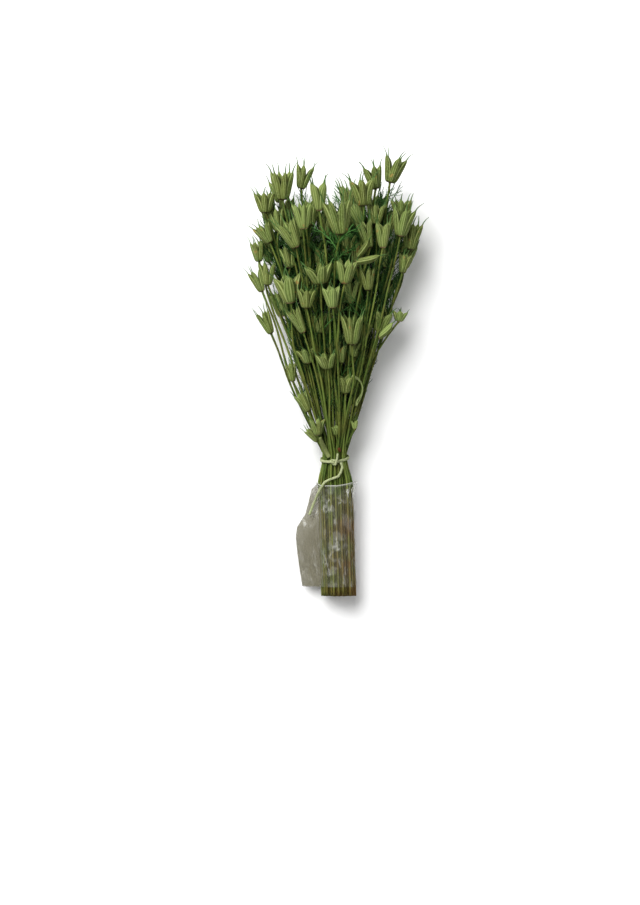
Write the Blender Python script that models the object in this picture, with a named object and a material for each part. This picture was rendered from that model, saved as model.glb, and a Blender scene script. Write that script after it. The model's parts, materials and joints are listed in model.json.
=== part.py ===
"""A tied bunch of dried nigella seed pods, lying on its side.

Every stem is one solid with its pod, its side shoot and its thread leaves grown into it. The stems run
through a narrow neck, where a flat fibre string ties them, and their cut ends lie in a sleeve of clear film.
The bunch lies along Y with the heads at +Y, and rises from the sleeve, which lies on the surface, to the
thicker head. All sizes here are in millimetres until a mesh is made.
"""

import math
from collections import namedtuple

import bmesh
import bpy
import numpy as np
from mathutils import Matrix, Vector

MM = 0.001
SEED = 11

# Lengths along the bunch, measured from the neck.
CUT_END_Y = -140.0
SLEEVE_END_Y = -131.0
SLEEVE_RIM_Y = -25.0
WAIST_Y = 5.0
SPREAD_END_Y = -24.0
LEVEL_STEP = 6.0
TOP_Y = 318.0

# The neck, the stems and the gaps between them.
NECK_PITCH = 3.2
STEM_RADIUS_LOW = 1.2
STEM_RADIUS_TOP = 1.0
LOWER_SPREAD = 1.30
LOWER_DRIFT = -0.031
TOUCH_GAP = 0.8
STEM_TOLERANCE = 0.22

# How the axis of the bunch rises from the surface.
SLEEVE_RADIUS = 18.9
AXIS_RISE = 0.086

# The head: half its width and half its depth at heights above the neck.
HEAD_Y = (0.0, 17.0, 47.0, 67.0, 117.0, 157.0, 207.0, 257.0, 310.0)
HEAD_HALF_WIDTH = (14.5, 20.0, 31.0, 40.0, 54.0, 68.0, 85.0, 82.0, 70.0)
HEAD_HALF_DEPTH = (14.5, 19.0, 27.0, 33.0, 43.0, 49.0, 56.0, 56.0, 52.0)

# The string round the neck and its tail.
STRING_RADIUS = 1.2
TAIL_RADIUS = 1.3
TAIL_CLEARANCE = 0.45
TAIL_STEP = 5.0
TAIL_FEELERS = [(0.0, 0.0)] + [
    (share * math.cos(turn * math.pi / 4.0), share * math.sin(turn * math.pi / 4.0))
    for share in (0.5, 0.9)
    for turn in range(8)
]
BUNDLE_RADIUS = 13.2
KNOT_LOW_Y = -5.0
KNOT_HALF = (4.6, 3.2, 2.2)
KNOT_ANGLE = 91.0
SHORT_END = ((1.4, -2.0, 1.0), (2.6, 2.4, 2.6), (3.2, 8.6, 3.4))
TIE_RADIUS = 14.35
TIE_SIDES = 24
TIE_MIDDLE_Y = -1.5
TIE_SLOPE_X = 1.3 / 14.5
TIE_SLOPE_Z = -3.2 / 14.5

# The film sleeve and the loose flap at its left side.
FILM_WALL = 0.8
FILM_DIRECTIONS = 16
FLAP_FOLD_RADIUS = 1.6
FLAP_DROP = 8.0
SLEEVE_Y = (-25.0, -32.0, -43.0, -58.0, -70.0, -82.0, -104.0, -131.0)
SLEEVE_OUTER = (19.9, 18.9, 18.9, 18.9, 18.9, 18.9, 18.9, 18.9)
FLAP_REACH = (17.0, 23.5, 26.0, 30.0, 38.0, 40.0, 37.0, 33.0)

# The tail of the string, as it lies over the stems and then over the sleeve: x and y from the neck.
TAIL_ROUTE = (
    (6.3, -5.4), (7.3, -8.0), (7.5, -11.0), (6.4, -14.6), (3.8, -19.2), (-0.6, -21.2), (-5.4, -22.7),
    (-9.6, -24.8), (-12.2, -28.6), (-15.8, -34.6), (-19.4, -43.0), (-22.6, -50.6), (-25.4, -58.2),
)

# One pod as the front of the bunch shows it: its foot, the two corners of its crown, how far it lies from
# the middle of the bunch towards the viewer (1 is the front), how many horns it has, and whether it grows
# on a side shoot. The millimetres run right and up from the neck.
SeenPod = namedtuple("SeenPod", "foot_x foot_y left_x left_y right_x right_y depth horns side")
SEEN_PODS = (
    SeenPod(-69, 244, -80, 265, -60, 260, 0.20, 5, False),
    SeenPod(-52, 254, -64, 280, -41, 279, 0.45, 6, False),
    SeenPod(-34, 266, -37, 290, -21, 284, 0.10, 5, False),
    SeenPod(-14, 246, -24, 272, -6, 270, 0.80, 4, False),
    SeenPod(-31, 227, -42, 249, -23, 252, 0.75, 6, False),
    SeenPod(2, 220, -16, 251, 10, 251, 0.90, 6, False),
    SeenPod(-37, 205, -57, 224, -39, 233, 0.70, 5, False),
    SeenPod(29, 252, 14, 276, 39, 276, 0.35, 6, False),
    SeenPod(41, 270, 27, 290, 46, 291, 0.00, 5, False),
    SeenPod(55, 274, 51, 301, 71, 293, 0.15, 5, False),
    SeenPod(65, 217, 58, 242, 80, 242, 0.50, 5, False),
    SeenPod(73, 206, 66, 229, 86, 231, 0.10, 5, False),
    SeenPod(67, 239, 57, 256, 77, 258, 0.00, 5, False),
    SeenPod(67, 181, 64, 198, 76, 199, 0.30, 4, True),
    SeenPod(48, 211, 40, 234, 56, 234, 0.65, 4, False),
    SeenPod(43, 235, 37, 253, 53, 254, 0.20, 5, True),
    SeenPod(35, 210, 21, 235, 37, 235, 0.45, 5, False),
    SeenPod(27, 230, 10, 250, 31, 250, 0.10, 5, True),
    SeenPod(7, 174, -3, 196, 18, 194, 0.90, 5, False),
    SeenPod(-14, 173, -31, 192, -4, 188, 0.85, 5, False),
    SeenPod(33, 167, 24, 188, 39, 187, 0.60, 5, False),
    SeenPod(-44, 154, -61, 176, -36, 182, 0.60, 4, False),
    SeenPod(-27, 151, -35, 170, -17, 167, 0.75, 5, False),
    SeenPod(-4, 149, -15, 169, 2, 168, 0.95, 4, False),
    SeenPod(-71, 166, -84, 181, -73, 189, 0.15, 5, False),
    SeenPod(-66, 174, -74, 195, -57, 194, 0.40, 5, False),
    SeenPod(-76, 197, -85, 214, -71, 216, -0.10, 5, False),
    SeenPod(-61, 215, -78, 232, -61, 231, 0.15, 5, False),
    SeenPod(-31, 126, -48, 146, -35, 150, 0.60, 5, False),
    SeenPod(-17, 122, -25, 138, -10, 140, 0.45, 5, True),
    SeenPod(16, 112, 5, 140, 26, 139, 0.95, 6, False),
    SeenPod(28, 115, 23, 137, 39, 137, 0.40, 5, True),
    SeenPod(-61, 121, -76, 139, -63, 143, 0.20, 5, False),
    SeenPod(41, 121, 37, 142, 55, 139, 0.40, 4, False),
    SeenPod(60, 137, 54, 146, 68, 147, 0.10, 4, True),
    SeenPod(52, 139, 46, 153, 58, 154, -0.20, 4, True),
    SeenPod(-26, 93, -39, 107, -20, 107, 0.60, 5, False),
    SeenPod(-4, 91, -15, 104, 5, 106, 0.95, 5, False),
    SeenPod(-44, 79, -51, 95, -41, 97, 0.10, 4, True),
    SeenPod(11, 63, 1, 80, 18, 79, 0.90, 4, False),
    SeenPod(-25, 46, -40, 63, -27, 63, 0.60, 4, False),
    SeenPod(-13, 22, -21, 36, -6, 38, 0.80, 5, False),
    SeenPod(-20, 18, -32, 26, -26, 33, 0.50, 4, True),
    SeenPod(18, 25, 15, 33, 23, 33, 0.60, 3, True),
    SeenPod(1, 23, -4, 32, 5, 32, 0.90, 3, True),
    SeenPod(21, 97, 18, 110, 29, 112, 0.50, 4, True),
    SeenPod(7, 95, 2, 111, 12, 112, 0.50, 4, True),
    SeenPod(-50, 141, -66, 161, -51, 165, -0.10, 5, False),
    SeenPod(17, 153, 10, 173, 26, 174, 0.30, 5, False),
    SeenPod(51, 188, 45, 212, 61, 214, -0.10, 5, False),
)

# The pods on the underside, which the front doesn't show, follow one rule. Every third lies on the surface.
HIDDEN_PODS = 18
HIDDEN_LOWEST_Y = 62.0
HIDDEN_HIGHEST_Y = 262.0
HIDDEN_DEPTHS = (1.0, 0.74, 0.48)
HIDDEN_CROWN = 9.8
HIDDEN_HEIGHT = 23.5
HIDDEN_WIDTH_SHARE = 0.74
HIDDEN_LEAN = (0.16, -0.06)
GOLDEN_ANGLE = math.pi * (3.0 - math.sqrt(5.0))

# How the stems and pods are moved apart: rounds of pushing, and the last ones with no pull to their places.
RELAX_ROUNDS = 700
FREE_ROUNDS = 90
PUSH_SHARE = 0.42
HOME_PULL = np.array([0.12, 0.042])
FLOOR_GAP = 0.2
POD_MARGIN = 0.6
FORK_LEVELS = 4

# Side shoots leave their stem this far below their pod, and thread leaves grow on the stems.
SHOOT_LENGTH = 46.0
SHOOT_RADIUS = 0.9
THREAD_RADIUS = 0.5
THREADS = 42
THREAD_LENGTH = (20.0, 40.0)
THREAD_REACH = 0.30
THREAD_CURL = 0.22

# A pod's profile, as shares of its crown radius and its height.
CUP = ((0.38, 0.31, 0.07), (0.66, 0.52, 0.42))
CUP_FLOOR = 0.34
SHOULDER = (0.50, 1.0, 0.34, 0.82)
BEAK_ROOT = (0.80, 0.97, 0.07, 1.02)
BEAK_TIP = (1.24, 1.42)
POD_DISC = ((0.0, 0.20), (0.07, 0.40), (0.42, 0.68), (0.80, 1.0), (1.05, 1.0))

COLLECTION = bpy.data.collections.new("nigella_bunch")
GREEN_POD = (0.205, 0.245, 0.075, 1.0)
STRING_SAGE = (0.52, 0.55, 0.36, 1.0)
FILM_CLEAR = (0.80, 0.80, 0.78, 1.0)


class Strand:
    """One stem or side shoot with its pod, as a path of levels through the bunch."""

    def __init__(self, foot, crown, height, lean, horns, side=False):
        self.name = ""
        self.foot = foot
        self.crown = crown
        self.height = height
        self.lean = lean
        self.horns = horns
        self.side = side
        self.parent = None
        self.first = 0
        self.slot = (0.0, 0.0)
        self.path = None
        self.beaks = [1.0] * horns
        self.turn = 0.0


def axis_x(y):
    """Gives the sideways place of the bunch's middle line at a height y."""
    return LOWER_DRIFT * min(y + WAIST_Y, 0.0)


def axis_z(y):
    """Gives the height of the bunch's middle line above the surface."""
    return SLEEVE_RADIUS + AXIS_RISE * (y - SLEEVE_END_Y)


def neck_slots(count):
    """Gives places for the stems in the neck, on a close grid, nearest the middle first."""
    reach = range(-6, 7)
    grid = [
        ((column + 0.5 * (row % 2)) * NECK_PITCH, row * NECK_PITCH * math.sqrt(0.75))
        for row in reach
        for column in reach
    ]
    grid.sort(key=lambda place: (round(math.hypot(*place), 3), place))
    return np.array(grid[:count])


def lower_scale(y):
    """Gives how far the stems spread at a height below the neck."""
    if y > -WAIST_Y:
        return 1.0
    share = min((-WAIST_Y - y) / (-WAIST_Y - SPREAD_END_Y), 1.0)
    return 1.0 + (LOWER_SPREAD - 1.0) * share


def head_size(y):
    """Gives half the width and half the depth of the head at a height y."""
    return np.interp(y, HEAD_Y, HEAD_HALF_WIDTH), np.interp(y, HEAD_Y, HEAD_HALF_DEPTH)


def front_strands():
    """Turns the pods seen at the front into strands."""
    strands = []
    for pod in SEEN_PODS:
        crown = Vector(((pod.left_x + pod.right_x) / 2.0, (pod.left_y + pod.right_y) / 2.0))
        along = crown - Vector((pod.foot_x, pod.foot_y))
        half = math.hypot(pod.right_x - pod.left_x, pod.right_y - pod.left_y) / 2.0
        wide, deep = head_size(pod.foot_y)
        round_off = math.sqrt(max(1.0 - (pod.foot_x / (wide + 6.0)) ** 2, 0.08))
        depth = pod.depth * (deep - half) * round_off
        lean = (along.x / along.y, 0.10 * pod.depth)
        place = (pod.foot_x, pod.foot_y, axis_z(pod.foot_y) + depth)
        strands.append(Strand(place, half, along.length, lean, pod.horns, pod.side))
    return strands


def hidden_strands():
    """Places the pods of the underside evenly over it."""
    strands = []
    for number in range(HIDDEN_PODS):
        share = (number + 0.5) / HIDDEN_PODS
        y = HIDDEN_LOWEST_Y + (HIDDEN_HIGHEST_Y - HIDDEN_LOWEST_Y) * share**0.8
        swing = math.sin(GOLDEN_ANGLE * (number + 1) * 1.7)
        wide, deep = head_size(y)
        down = HIDDEN_DEPTHS[number % len(HIDDEN_DEPTHS)]
        z = axis_z(y) - down * (deep - 6.0) * math.sqrt(1.0 - 0.6 * swing * swing)
        crown = HIDDEN_CROWN + 1.6 * math.sin(2.1 * number)
        height = HIDDEN_HEIGHT + 3.0 * math.cos(1.3 * number)
        lean = (HIDDEN_LEAN[0] * swing, HIDDEN_LEAN[1])
        horns = 5 if number % 4 else 6
        strands.append(Strand((HIDDEN_WIDTH_SHARE * wide * swing, y, z), crown, height, lean, horns))
    return strands


def level_of(y):
    """Gives the number of the nearest level at a height y."""
    return int(round((y - CUT_END_Y) / LEVEL_STEP))


LEVELS = CUT_END_Y + LEVEL_STEP * np.arange(int((TOP_Y - CUT_END_Y) / LEVEL_STEP) + 1)
NECK_LEVEL = level_of(WAIST_Y)


def first_paths(strands):
    """Gives each strand a straight first path from its place in the neck to its pod's foot."""
    stems = [strand for strand in strands if not strand.side]
    slots = neck_slots(len(stems))
    wish = np.array([
        [s.foot[0] / max(s.foot[1], 40.0), (s.foot[2] - axis_z(s.foot[1])) / max(s.foot[1], 40.0)]
        for s in stems
    ])
    wish *= 0.75 * np.abs(slots).max() / np.abs(wish).max()
    order = list(range(len(stems)))
    better = True
    while better:
        better = False
        for i in range(len(stems)):
            for j in range(i + 1, len(stems)):
                gain = (wish[i] - wish[j]) @ (slots[order[j]] - slots[order[i]])
                if gain > 1e-9:
                    order[i], order[j] = order[j], order[i]
                    better = True
    for stem, place in zip(stems, order):
        stem.slot = tuple(slots[place])
    for strand in strands:
        x, y, z = strand.foot
        foot = np.array([x, z - axis_z(y)])
        strand.path = np.zeros((len(LEVELS), 2))
        for level, height in enumerate(LEVELS):
            share = min(max(height - WAIST_Y, 0.0) / (y - WAIST_Y), 1.0)
            bow = share * (1.0 + 0.22 * (1.0 - share))
            start = np.array(strand.slot) * lower_scale(height) + np.array([axis_x(height), 0.0])
            strand.path[level] = start + (foot - start) * bow
            if height > y:
                strand.path[level] = foot + np.array(strand.lean) * (height - y)
    return stems


def choose_parents(strands, stems):
    """Joins each side shoot to the stem that passes nearest below its pod."""
    taken = set()
    for strand in strands:
        if not strand.side:
            continue
        fork = max(level_of(strand.foot[1] - SHOOT_LENGTH), NECK_LEVEL + 1)
        foot = np.array([strand.foot[0], strand.foot[2] - axis_z(strand.foot[1])])
        foot_level = level_of(strand.foot[1])
        reach = [
            stem for stem in stems
            if stem.name not in taken and level_of(stem.foot[1]) > fork + 2
        ]
        parent = min(
            reach,
            key=lambda stem: np.hypot(*(stem.path[min(foot_level, level_of(stem.foot[1]))] - foot)),
        )
        taken.add(parent.name)
        strand.parent = parent
        strand.first = fork


def disc_radii(strand):
    """Gives the strand's radius at each level, with its pod's, and 0 where it isn't."""
    radii = np.zeros(len(LEVELS))
    thin = SHOOT_RADIUS if strand.parent else STEM_RADIUS_LOW
    top = level_of(strand.foot[1])
    radii[strand.first:top + 1] = thin
    shares, widths = zip(*POD_DISC)
    upright = strand.height * math.cos(math.atan(math.hypot(*strand.lean)))
    for level in range(top, len(LEVELS)):
        share = (LEVELS[level] - strand.foot[1]) / upright
        if share > POD_DISC[-1][0] + LEVEL_STEP / upright:
            break
        wide = np.interp(share, shares, widths) * (strand.crown + 0.6)
        radii[level] = max(radii[level], wide)
    return radii


def wanted_room(strands, radii, index):
    """Gives how far apart each two strands have to be at each level, and where they count."""
    present = radii > 0.0
    both = present[:, None, :] & present[None, :, :]
    both[np.arange(len(strands)), np.arange(len(strands)), :] = False
    for number, strand in enumerate(strands):
        if strand.parent:
            other = index[strand.parent.name]
            near = slice(strand.first, strand.first + FORK_LEVELS)
            both[number, other, near] = False
            both[other, number, near] = False
    return (radii[:, None, :] + radii[None, :, :] + TOUCH_GAP) * both, both


def straighten_pod(path, radii, foot, last, lean, home, free):
    """Puts a pod's levels back on one straight line, near its lean and its place."""
    rise = LEVELS[foot:last + 1] - LEVELS[foot]
    weight = radii[foot:last + 1]
    centre = (rise * weight).sum() / weight.sum()
    middle = (path[foot:last + 1] * weight[:, None]).sum(axis=0) / weight.sum()
    moment = weight * (rise - centre)
    slope = ((path[foot:last + 1] - middle) * moment[:, None]).sum(axis=0) / (moment * (rise - centre)).sum()
    slope += (np.array(lean) - slope) * (0.05 if free else 0.3)
    if not free:
        middle = middle + (home - (middle - slope * centre)) * HOME_PULL
    path[foot:last + 1] = middle + slope * (rise - centre)[:, None]


def relax(strands):
    """Moves the strands apart until none touches another, and keeps them smooth and the pods straight."""
    paths = np.array([strand.path for strand in strands])
    home = paths.copy()
    radii = np.array([disc_radii(strand) for strand in strands])
    index = {strand.name: number for number, strand in enumerate(strands)}
    room, both = wanted_room(strands, radii, index)
    lowest = radii + FLOOR_GAP - np.array([axis_z(y) for y in LEVELS])
    feet = [level_of(strand.foot[1]) for strand in strands]
    lasts = [int(np.flatnonzero(row)[-1]) for row in radii]
    for step in range(RELAX_ROUNDS):
        free = step > RELAX_ROUNDS - FREE_ROUNDS
        apart = paths[:, None] - paths[None, :]
        distance = np.linalg.norm(apart, axis=3) + 1e-6
        deficit = np.clip(room - distance, 0.0, None) * both
        paths += PUSH_SHARE * (apart / distance[..., None] * deficit[..., None]).sum(axis=1)
        paths[..., 1] = np.where(radii > 0.0, np.maximum(paths[..., 1], lowest), paths[..., 1])
        for number, strand in enumerate(strands):
            path, foot = paths[number], feet[number]
            straighten_pod(path, radii[number], foot, lasts[number], strand.lean, home[number, foot], free)
            low = strand.first if strand.parent else NECK_LEVEL
            line = path[low:foot + 1]
            if strand.parent:
                path[:low + 1] = paths[index[strand.parent.name], :low + 1]
            if len(line) > 2:
                bend = 0.5 * (line[:-2] + line[2:]) - line[1:-1]
                line[1:-1] += (0.25 if free else 0.6) * bend
            if not strand.parent:
                path[:low + 1] = home[number, :low + 1]
    for strand, path, foot in zip(strands, paths, feet):
        strand.path = path
        strand.foot = (path[foot, 0], float(LEVELS[foot]), path[foot, 1] + axis_z(LEVELS[foot]))


def simplify(points, tolerance):
    """Keeps only the points that a path needs to stay within a tolerance."""
    start, end = points[0], points[-1]
    along = (end - start).normalized()
    worst, at = 0.0, 0
    for number in range(1, len(points) - 1):
        offset = points[number] - start
        away = (offset - along * offset.dot(along)).length
        if away > worst:
            worst, at = away, number
    if worst <= tolerance:
        return [start, end]
    return simplify(points[:at + 1], tolerance)[:-1] + simplify(points[at:], tolerance)


def stem_points(strand):
    """Gives the middle line of a strand's stem, from its cut end or its fork to its pod."""
    top = level_of(strand.foot[1])
    points = [
        Vector((strand.path[level][0], LEVELS[level], strand.path[level][1] + axis_z(LEVELS[level])))
        for level in range(strand.first, top + 1)
    ]
    return simplify(points, STEM_TOLERANCE)


def pod_frame(strand):
    """Gives a pod's foot, its axis and the two directions across it."""
    top = level_of(strand.foot[1])
    slope = (strand.path[top + 2] - strand.path[top]) / (2.0 * LEVEL_STEP)
    axis = Vector((slope[0], 1.0, slope[1] + AXIS_RISE)).normalized()
    return Vector(strand.foot), axis, *across(axis)


def across(axis):
    """Gives two directions at right angles to an axis and to each other."""
    up = Vector((0.0, 0.0, 1.0))
    first = (up - axis * up.dot(axis)).normalized()
    return first, axis.cross(first)


def beak_line(strand, horn, share):
    """Gives the root and the tip of one beak, at a share of its full length."""
    foot, axis, first, second = pod_frame(strand)
    angle = strand.turn + 2.0 * math.pi * horn / strand.horns
    outward = first * math.cos(angle) + second * math.sin(angle)
    root_r = strand.crown * (BEAK_ROOT[0] + BEAK_ROOT[1]) / 2.0
    root = foot + outward * root_r + axis * (strand.height * BEAK_ROOT[3])
    full = foot + outward * (strand.crown * BEAK_TIP[0]) + axis * (strand.height * BEAK_TIP[1])
    return root, root.lerp(full, share)


def segment_gaps(points, starts, ends):
    """Gives the distance from each point to each segment."""
    along = ends - starts
    length = np.maximum((along**2).sum(axis=1), 1e-9)
    share = ((points[:, None] - starts[None]) * along[None]).sum(axis=2) / length[None]
    nearest = starts[None] + np.clip(share, 0.0, 1.0)[..., None] * along[None]
    return np.linalg.norm(points[:, None] - nearest, axis=2)


class Room:
    """What already fills the bunch, for finding clear ways for beaks and thread leaves."""

    def __init__(self, strands):
        self.starts, self.ends, self.radii, self.owners = [], [], [], []
        self.pods = []
        for number, strand in enumerate(strands):
            owner = strand.parent.name if strand.parent else strand.name
            line = stem_points(strand)
            for start, end in zip(line, line[1:]):
                self.add(start, end, SHOOT_RADIUS if strand.parent else STEM_RADIUS_LOW, owner)
            self.pods.append((owner, strand, pod_frame(strand)))

    def add(self, start, end, radius, owner):
        """Fills a straight stretch."""
        self.starts.append(tuple(start))
        self.ends.append(tuple(end))
        self.radii.append(radius)
        self.owners.append(owner)

    def clear(self, points, radius, owner, own_too=False):
        """Tells whether a line of points is clear of everything that isn't its owner's."""
        spots = np.array([tuple(point) for point in points])
        if spots[:, 2].min() < radius + 0.3:
            return False
        gaps = segment_gaps(spots, np.array(self.starts), np.array(self.ends))
        gaps -= np.array(self.radii)[None] + radius + 0.4
        other = np.array([own_too or name != owner for name in self.owners])
        if gaps[:, other].min() < 0.0:
            return False
        shares, widths = zip(*POD_DISC)
        for name, strand, (foot, axis, _, _) in self.pods:
            if name == owner and not own_too:
                continue
            offset = spots - np.array(foot)
            rise = offset @ np.array(axis)
            out = np.sqrt(np.maximum((offset**2).sum(axis=1) - rise**2, 0.0))
            share = rise / strand.height
            wide = np.interp(share, shares, widths) * strand.crown
            if np.any((share > -0.05) & (share < 1.12) & (out < wide + radius + 0.5)):
                return False
        return True


def fit_beaks(strands, room):
    """Shortens each beak that would reach another stem or pod."""
    for strand in strands:
        owner = strand.parent.name if strand.parent else strand.name
        for horn in range(strand.horns):
            for share in (1.0, 0.8, 0.6, 0.4, 0.2):
                root, tip = beak_line(strand, horn, share)
                line = [root.lerp(tip, t) for t in np.linspace(0.0, 1.0, 9)]
                if share == 0.2 or room.clear(line, 0.8, owner):
                    strand.beaks[horn] = share
                    room.add(root, tip, 0.7, owner)
                    break


def thread_line(strand, rng):
    """Draws one thread leaf: it leaves its stem, runs up beside it and bends away."""
    line = stem_points(strand)
    low = max(30.0, line[0].y + 14.0)
    y = rng.uniform(low, strand.foot[1] - 14.0)
    for start, end in zip(line, line[1:]):
        if start.y <= y <= end.y:
            root = start.lerp(end, (y - start.y) / (end.y - start.y))
            axis = (end - start).normalized()
            break
    else:
        return None
    first, second = across(axis)
    angle = rng.uniform(0.0, 2.0 * math.pi)
    outward = first * math.cos(angle) + second * math.sin(angle)
    length = rng.uniform(*THREAD_LENGTH)
    curl = rng.uniform(-THREAD_CURL, THREAD_CURL)
    sideways = axis.cross(outward)
    points = []
    for t in (0.0, 0.34, 0.68, 1.0):
        away = outward * (length * THREAD_REACH * t**0.7) + sideways * (length * curl * t * t)
        points.append(root + axis * (length * 0.9 * t) + away)
    return points


def grow_threads(strands, room, rng):
    """Finds clear places for the thread leaves."""
    stems = [strand for strand in strands if strand.parent is None and strand.foot[1] > 70.0]
    threads = {strand.name: [] for strand in stems}
    grown = 0
    tries = 0
    while grown < THREADS and tries < 6000:
        strand = stems[tries % len(stems)]
        tries += 1
        points = thread_line(strand, rng)
        if points is None or len(threads[strand.name]) >= 1 + grown // len(stems):
            continue
        dense = [a.lerp(b, t) for a, b in zip(points, points[1:]) for t in (0.0, 0.25, 0.5, 0.75, 1.0)]
        free = [point for point in dense if (point - points[0]).length > 3.5]
        if not room.clear(dense, THREAD_RADIUS, strand.name):
            continue
        if not room.clear(free, THREAD_RADIUS, strand.name, own_too=True):
            continue
        for start, end in zip(points, points[1:]):
            room.add(start, end, THREAD_RADIUS, strand.name)
        threads[strand.name].append(points)
        grown += 1
    return threads


def ring(centre, axis, radius, sides, turn):
    """Gives points on a circle across an axis."""
    first, second = across(axis)
    angles = [turn + 2.0 * math.pi * side / sides for side in range(sides)]
    return [centre + (first * math.cos(a) + second * math.sin(a)) * radius for a in angles]


def extrude_to(bm, face, points):
    """Extrudes one face and puts its corners at the given points."""
    face = bmesh.ops.extrude_discrete_faces(bm, faces=[face])["faces"][0]
    for vertex, point in zip(face.verts, points):
        vertex.co = point
    return face


def tube(bm, line, radii, sides, turn):
    """Runs a closed tube along a line and gives its last face."""
    start = bmesh.ops.create_circle(bm, cap_ends=True, segments=sides, radius=1.0)["verts"]
    face = start[0].link_faces[0]
    for number, (point, radius) in enumerate(zip(line, radii)):
        before = line[max(number - 1, 0)]
        after = line[min(number + 1, len(line) - 1)]
        points = ring(point, (after - before).normalized(), radius, sides, turn)
        if number == 0:
            for vertex, place in zip(face.verts, points):
                vertex.co = place
        else:
            face = extrude_to(bm, face, points)
    bmesh.ops.holes_fill(bm, edges=[edge for edge in bm.edges if edge.is_boundary], sides=sides)
    return face


def grow_pod(bm, face, strand):
    """Grows the lobed cup and the horns of one pod from the last face of its stem."""
    foot, axis, first, second = pod_frame(strand)
    horns = strand.horns
    half_turn = math.pi / horns

    def spot(angle, radius, height):
        return foot + (first * math.cos(angle) + second * math.sin(angle)) * radius + axis * height

    def steps(vertex):
        offset = vertex.co - foot
        return round((math.atan2(offset.dot(second), offset.dot(first)) - strand.turn) / half_turn)

    for edge in list(face.edges):
        bmesh.utils.edge_split(edge, edge.verts[0], 0.5)
    for ridge, valley, height in CUP:
        marks = [steps(vertex) for vertex in face.verts]
        points = [
            spot(
                strand.turn + mark * half_turn,
                strand.crown * (valley if mark % 2 else ridge),
                strand.height * height,
            )
            for mark in marks
        ]
        face = extrude_to(bm, face, points)
    marks = {vertex: steps(vertex) for vertex in face.verts}
    middle = bmesh.ops.poke(bm, faces=[face])["verts"][0]
    middle.co = foot + axis * (strand.height * CUP_FLOOR)
    crests = [edge for edge in middle.link_edges if marks[edge.other_vert(middle)] % 2 == 0]
    bmesh.ops.dissolve_edges(bm, edges=crests, use_verts=False)
    kites = list(middle.link_faces)
    lobes = bmesh.ops.extrude_discrete_faces(bm, faces=kites)["faces"]
    for lobe in lobes:
        corners = sorted(lobe.verts, key=lambda v: (v.co - foot - axis * (v.co - foot).dot(axis)).length)
        keel = corners[-1]
        horn = (steps(keel) // 2) % horns
        angle = strand.turn + 2.0 * math.pi * horn / horns
        outward = first * math.cos(angle) + second * math.sin(angle)
        sideways = axis.cross(outward)
        roles = []
        for vertex in lobe.verts:
            if vertex == corners[0]:
                roles.append((0, 0.0))
            elif vertex == keel:
                roles.append((1, 0.0))
            else:
                roles.append((2, math.copysign(1.0, (vertex.co - foot).dot(sideways))))
        stages = (SHOULDER, BEAK_ROOT)
        for number, (inner, outer, side, height) in enumerate(stages):
            if number:
                lobe = bmesh.ops.extrude_discrete_faces(bm, faces=[lobe])["faces"][0]
            radii = (inner, outer, (inner + outer) / 2.0 + 0.04)
            for vertex, (role, sign) in zip(lobe.verts, roles):
                flat = outward * (radii[role] * strand.crown) + sideways * (sign * side * strand.crown)
                vertex.co = foot + flat + axis * (height * strand.height)
        tip = bmesh.ops.poke(bm, faces=[lobe])["verts"][0]
        tip.co = beak_line(strand, horn, strand.beaks[horn])[1]


def finish_mesh(bm, name, material):
    """Makes an object of a bmesh, in metres, and gives it."""
    bmesh.ops.recalc_face_normals(bm, faces=bm.faces)
    bmesh.ops.scale(bm, vec=Vector((MM, MM, MM)), verts=bm.verts)
    mesh = bpy.data.meshes.new(name)
    bm.to_mesh(mesh)
    bm.free()
    mesh.materials.append(material)
    piece = bpy.data.objects.new(name, mesh)
    COLLECTION.objects.link(piece)
    return piece


def strand_body(strand, material):
    """Makes the solid of a stem or a side shoot with its pod."""
    bm = bmesh.new()
    line = stem_points(strand)
    low = SHOOT_RADIUS if strand.parent else STEM_RADIUS_LOW
    high = min(low, STEM_RADIUS_TOP)
    radii = list(np.linspace(low, high, len(line)))
    face = tube(bm, line, radii, strand.horns, strand.turn)
    grow_pod(bm, face, strand)
    return finish_mesh(bm, strand.name, material)


def thread_body(points, name, material):
    """Makes the solid of one thread leaf, sunk into its stem."""
    bm = bmesh.new()
    radii = [THREAD_RADIUS * 1.2, THREAD_RADIUS * 1.1, THREAD_RADIUS, THREAD_RADIUS * 0.8]
    face = tube(bm, points, radii, 3, 0.0)
    along = (points[-1] - points[-2]).normalized()
    tip = bmesh.ops.poke(bm, faces=[face])["verts"][0]
    tip.co = points[-1] + along * 1.6
    return finish_mesh(bm, name, material)


def fuse(body, extras):
    """Joins extra solids to a body with one Boolean union, and removes them."""
    if not extras:
        return body
    group = bpy.data.collections.new(body.name + "_extras")
    bpy.context.scene.collection.children.link(group)
    for extra in extras:
        COLLECTION.objects.unlink(extra)
        group.objects.link(extra)
    union = body.modifiers.new("union", "BOOLEAN")
    union.operation = "UNION"
    union.operand_type = "COLLECTION"
    union.collection = group
    union.solver = "EXACT"
    whole = bpy.data.meshes.new_from_object(body.evaluated_get(bpy.context.evaluated_depsgraph_get()))
    body.modifiers.clear()
    body.data = whole
    for extra in extras:
        bpy.data.objects.remove(extra)
    bpy.data.collections.remove(group)
    return body


def curve_tube(name, points, radius, resolution, cyclic, material):
    """Makes a round tube along points as a curve object."""
    curve = bpy.data.curves.new(name, "CURVE")
    curve.dimensions = "3D"
    curve.bevel_depth = radius * MM
    curve.bevel_resolution = resolution
    curve.use_fill_caps = not cyclic
    spline = curve.splines.new("POLY")
    spline.points.add(len(points) - 1)
    for point, place in zip(spline.points, points):
        point.co = (place.x * MM, place.y * MM, place.z * MM, 1.0)
    spline.use_cyclic_u = cyclic
    curve.materials.append(material)
    piece = bpy.data.objects.new(name, curve)
    COLLECTION.objects.link(piece)
    return piece


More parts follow.
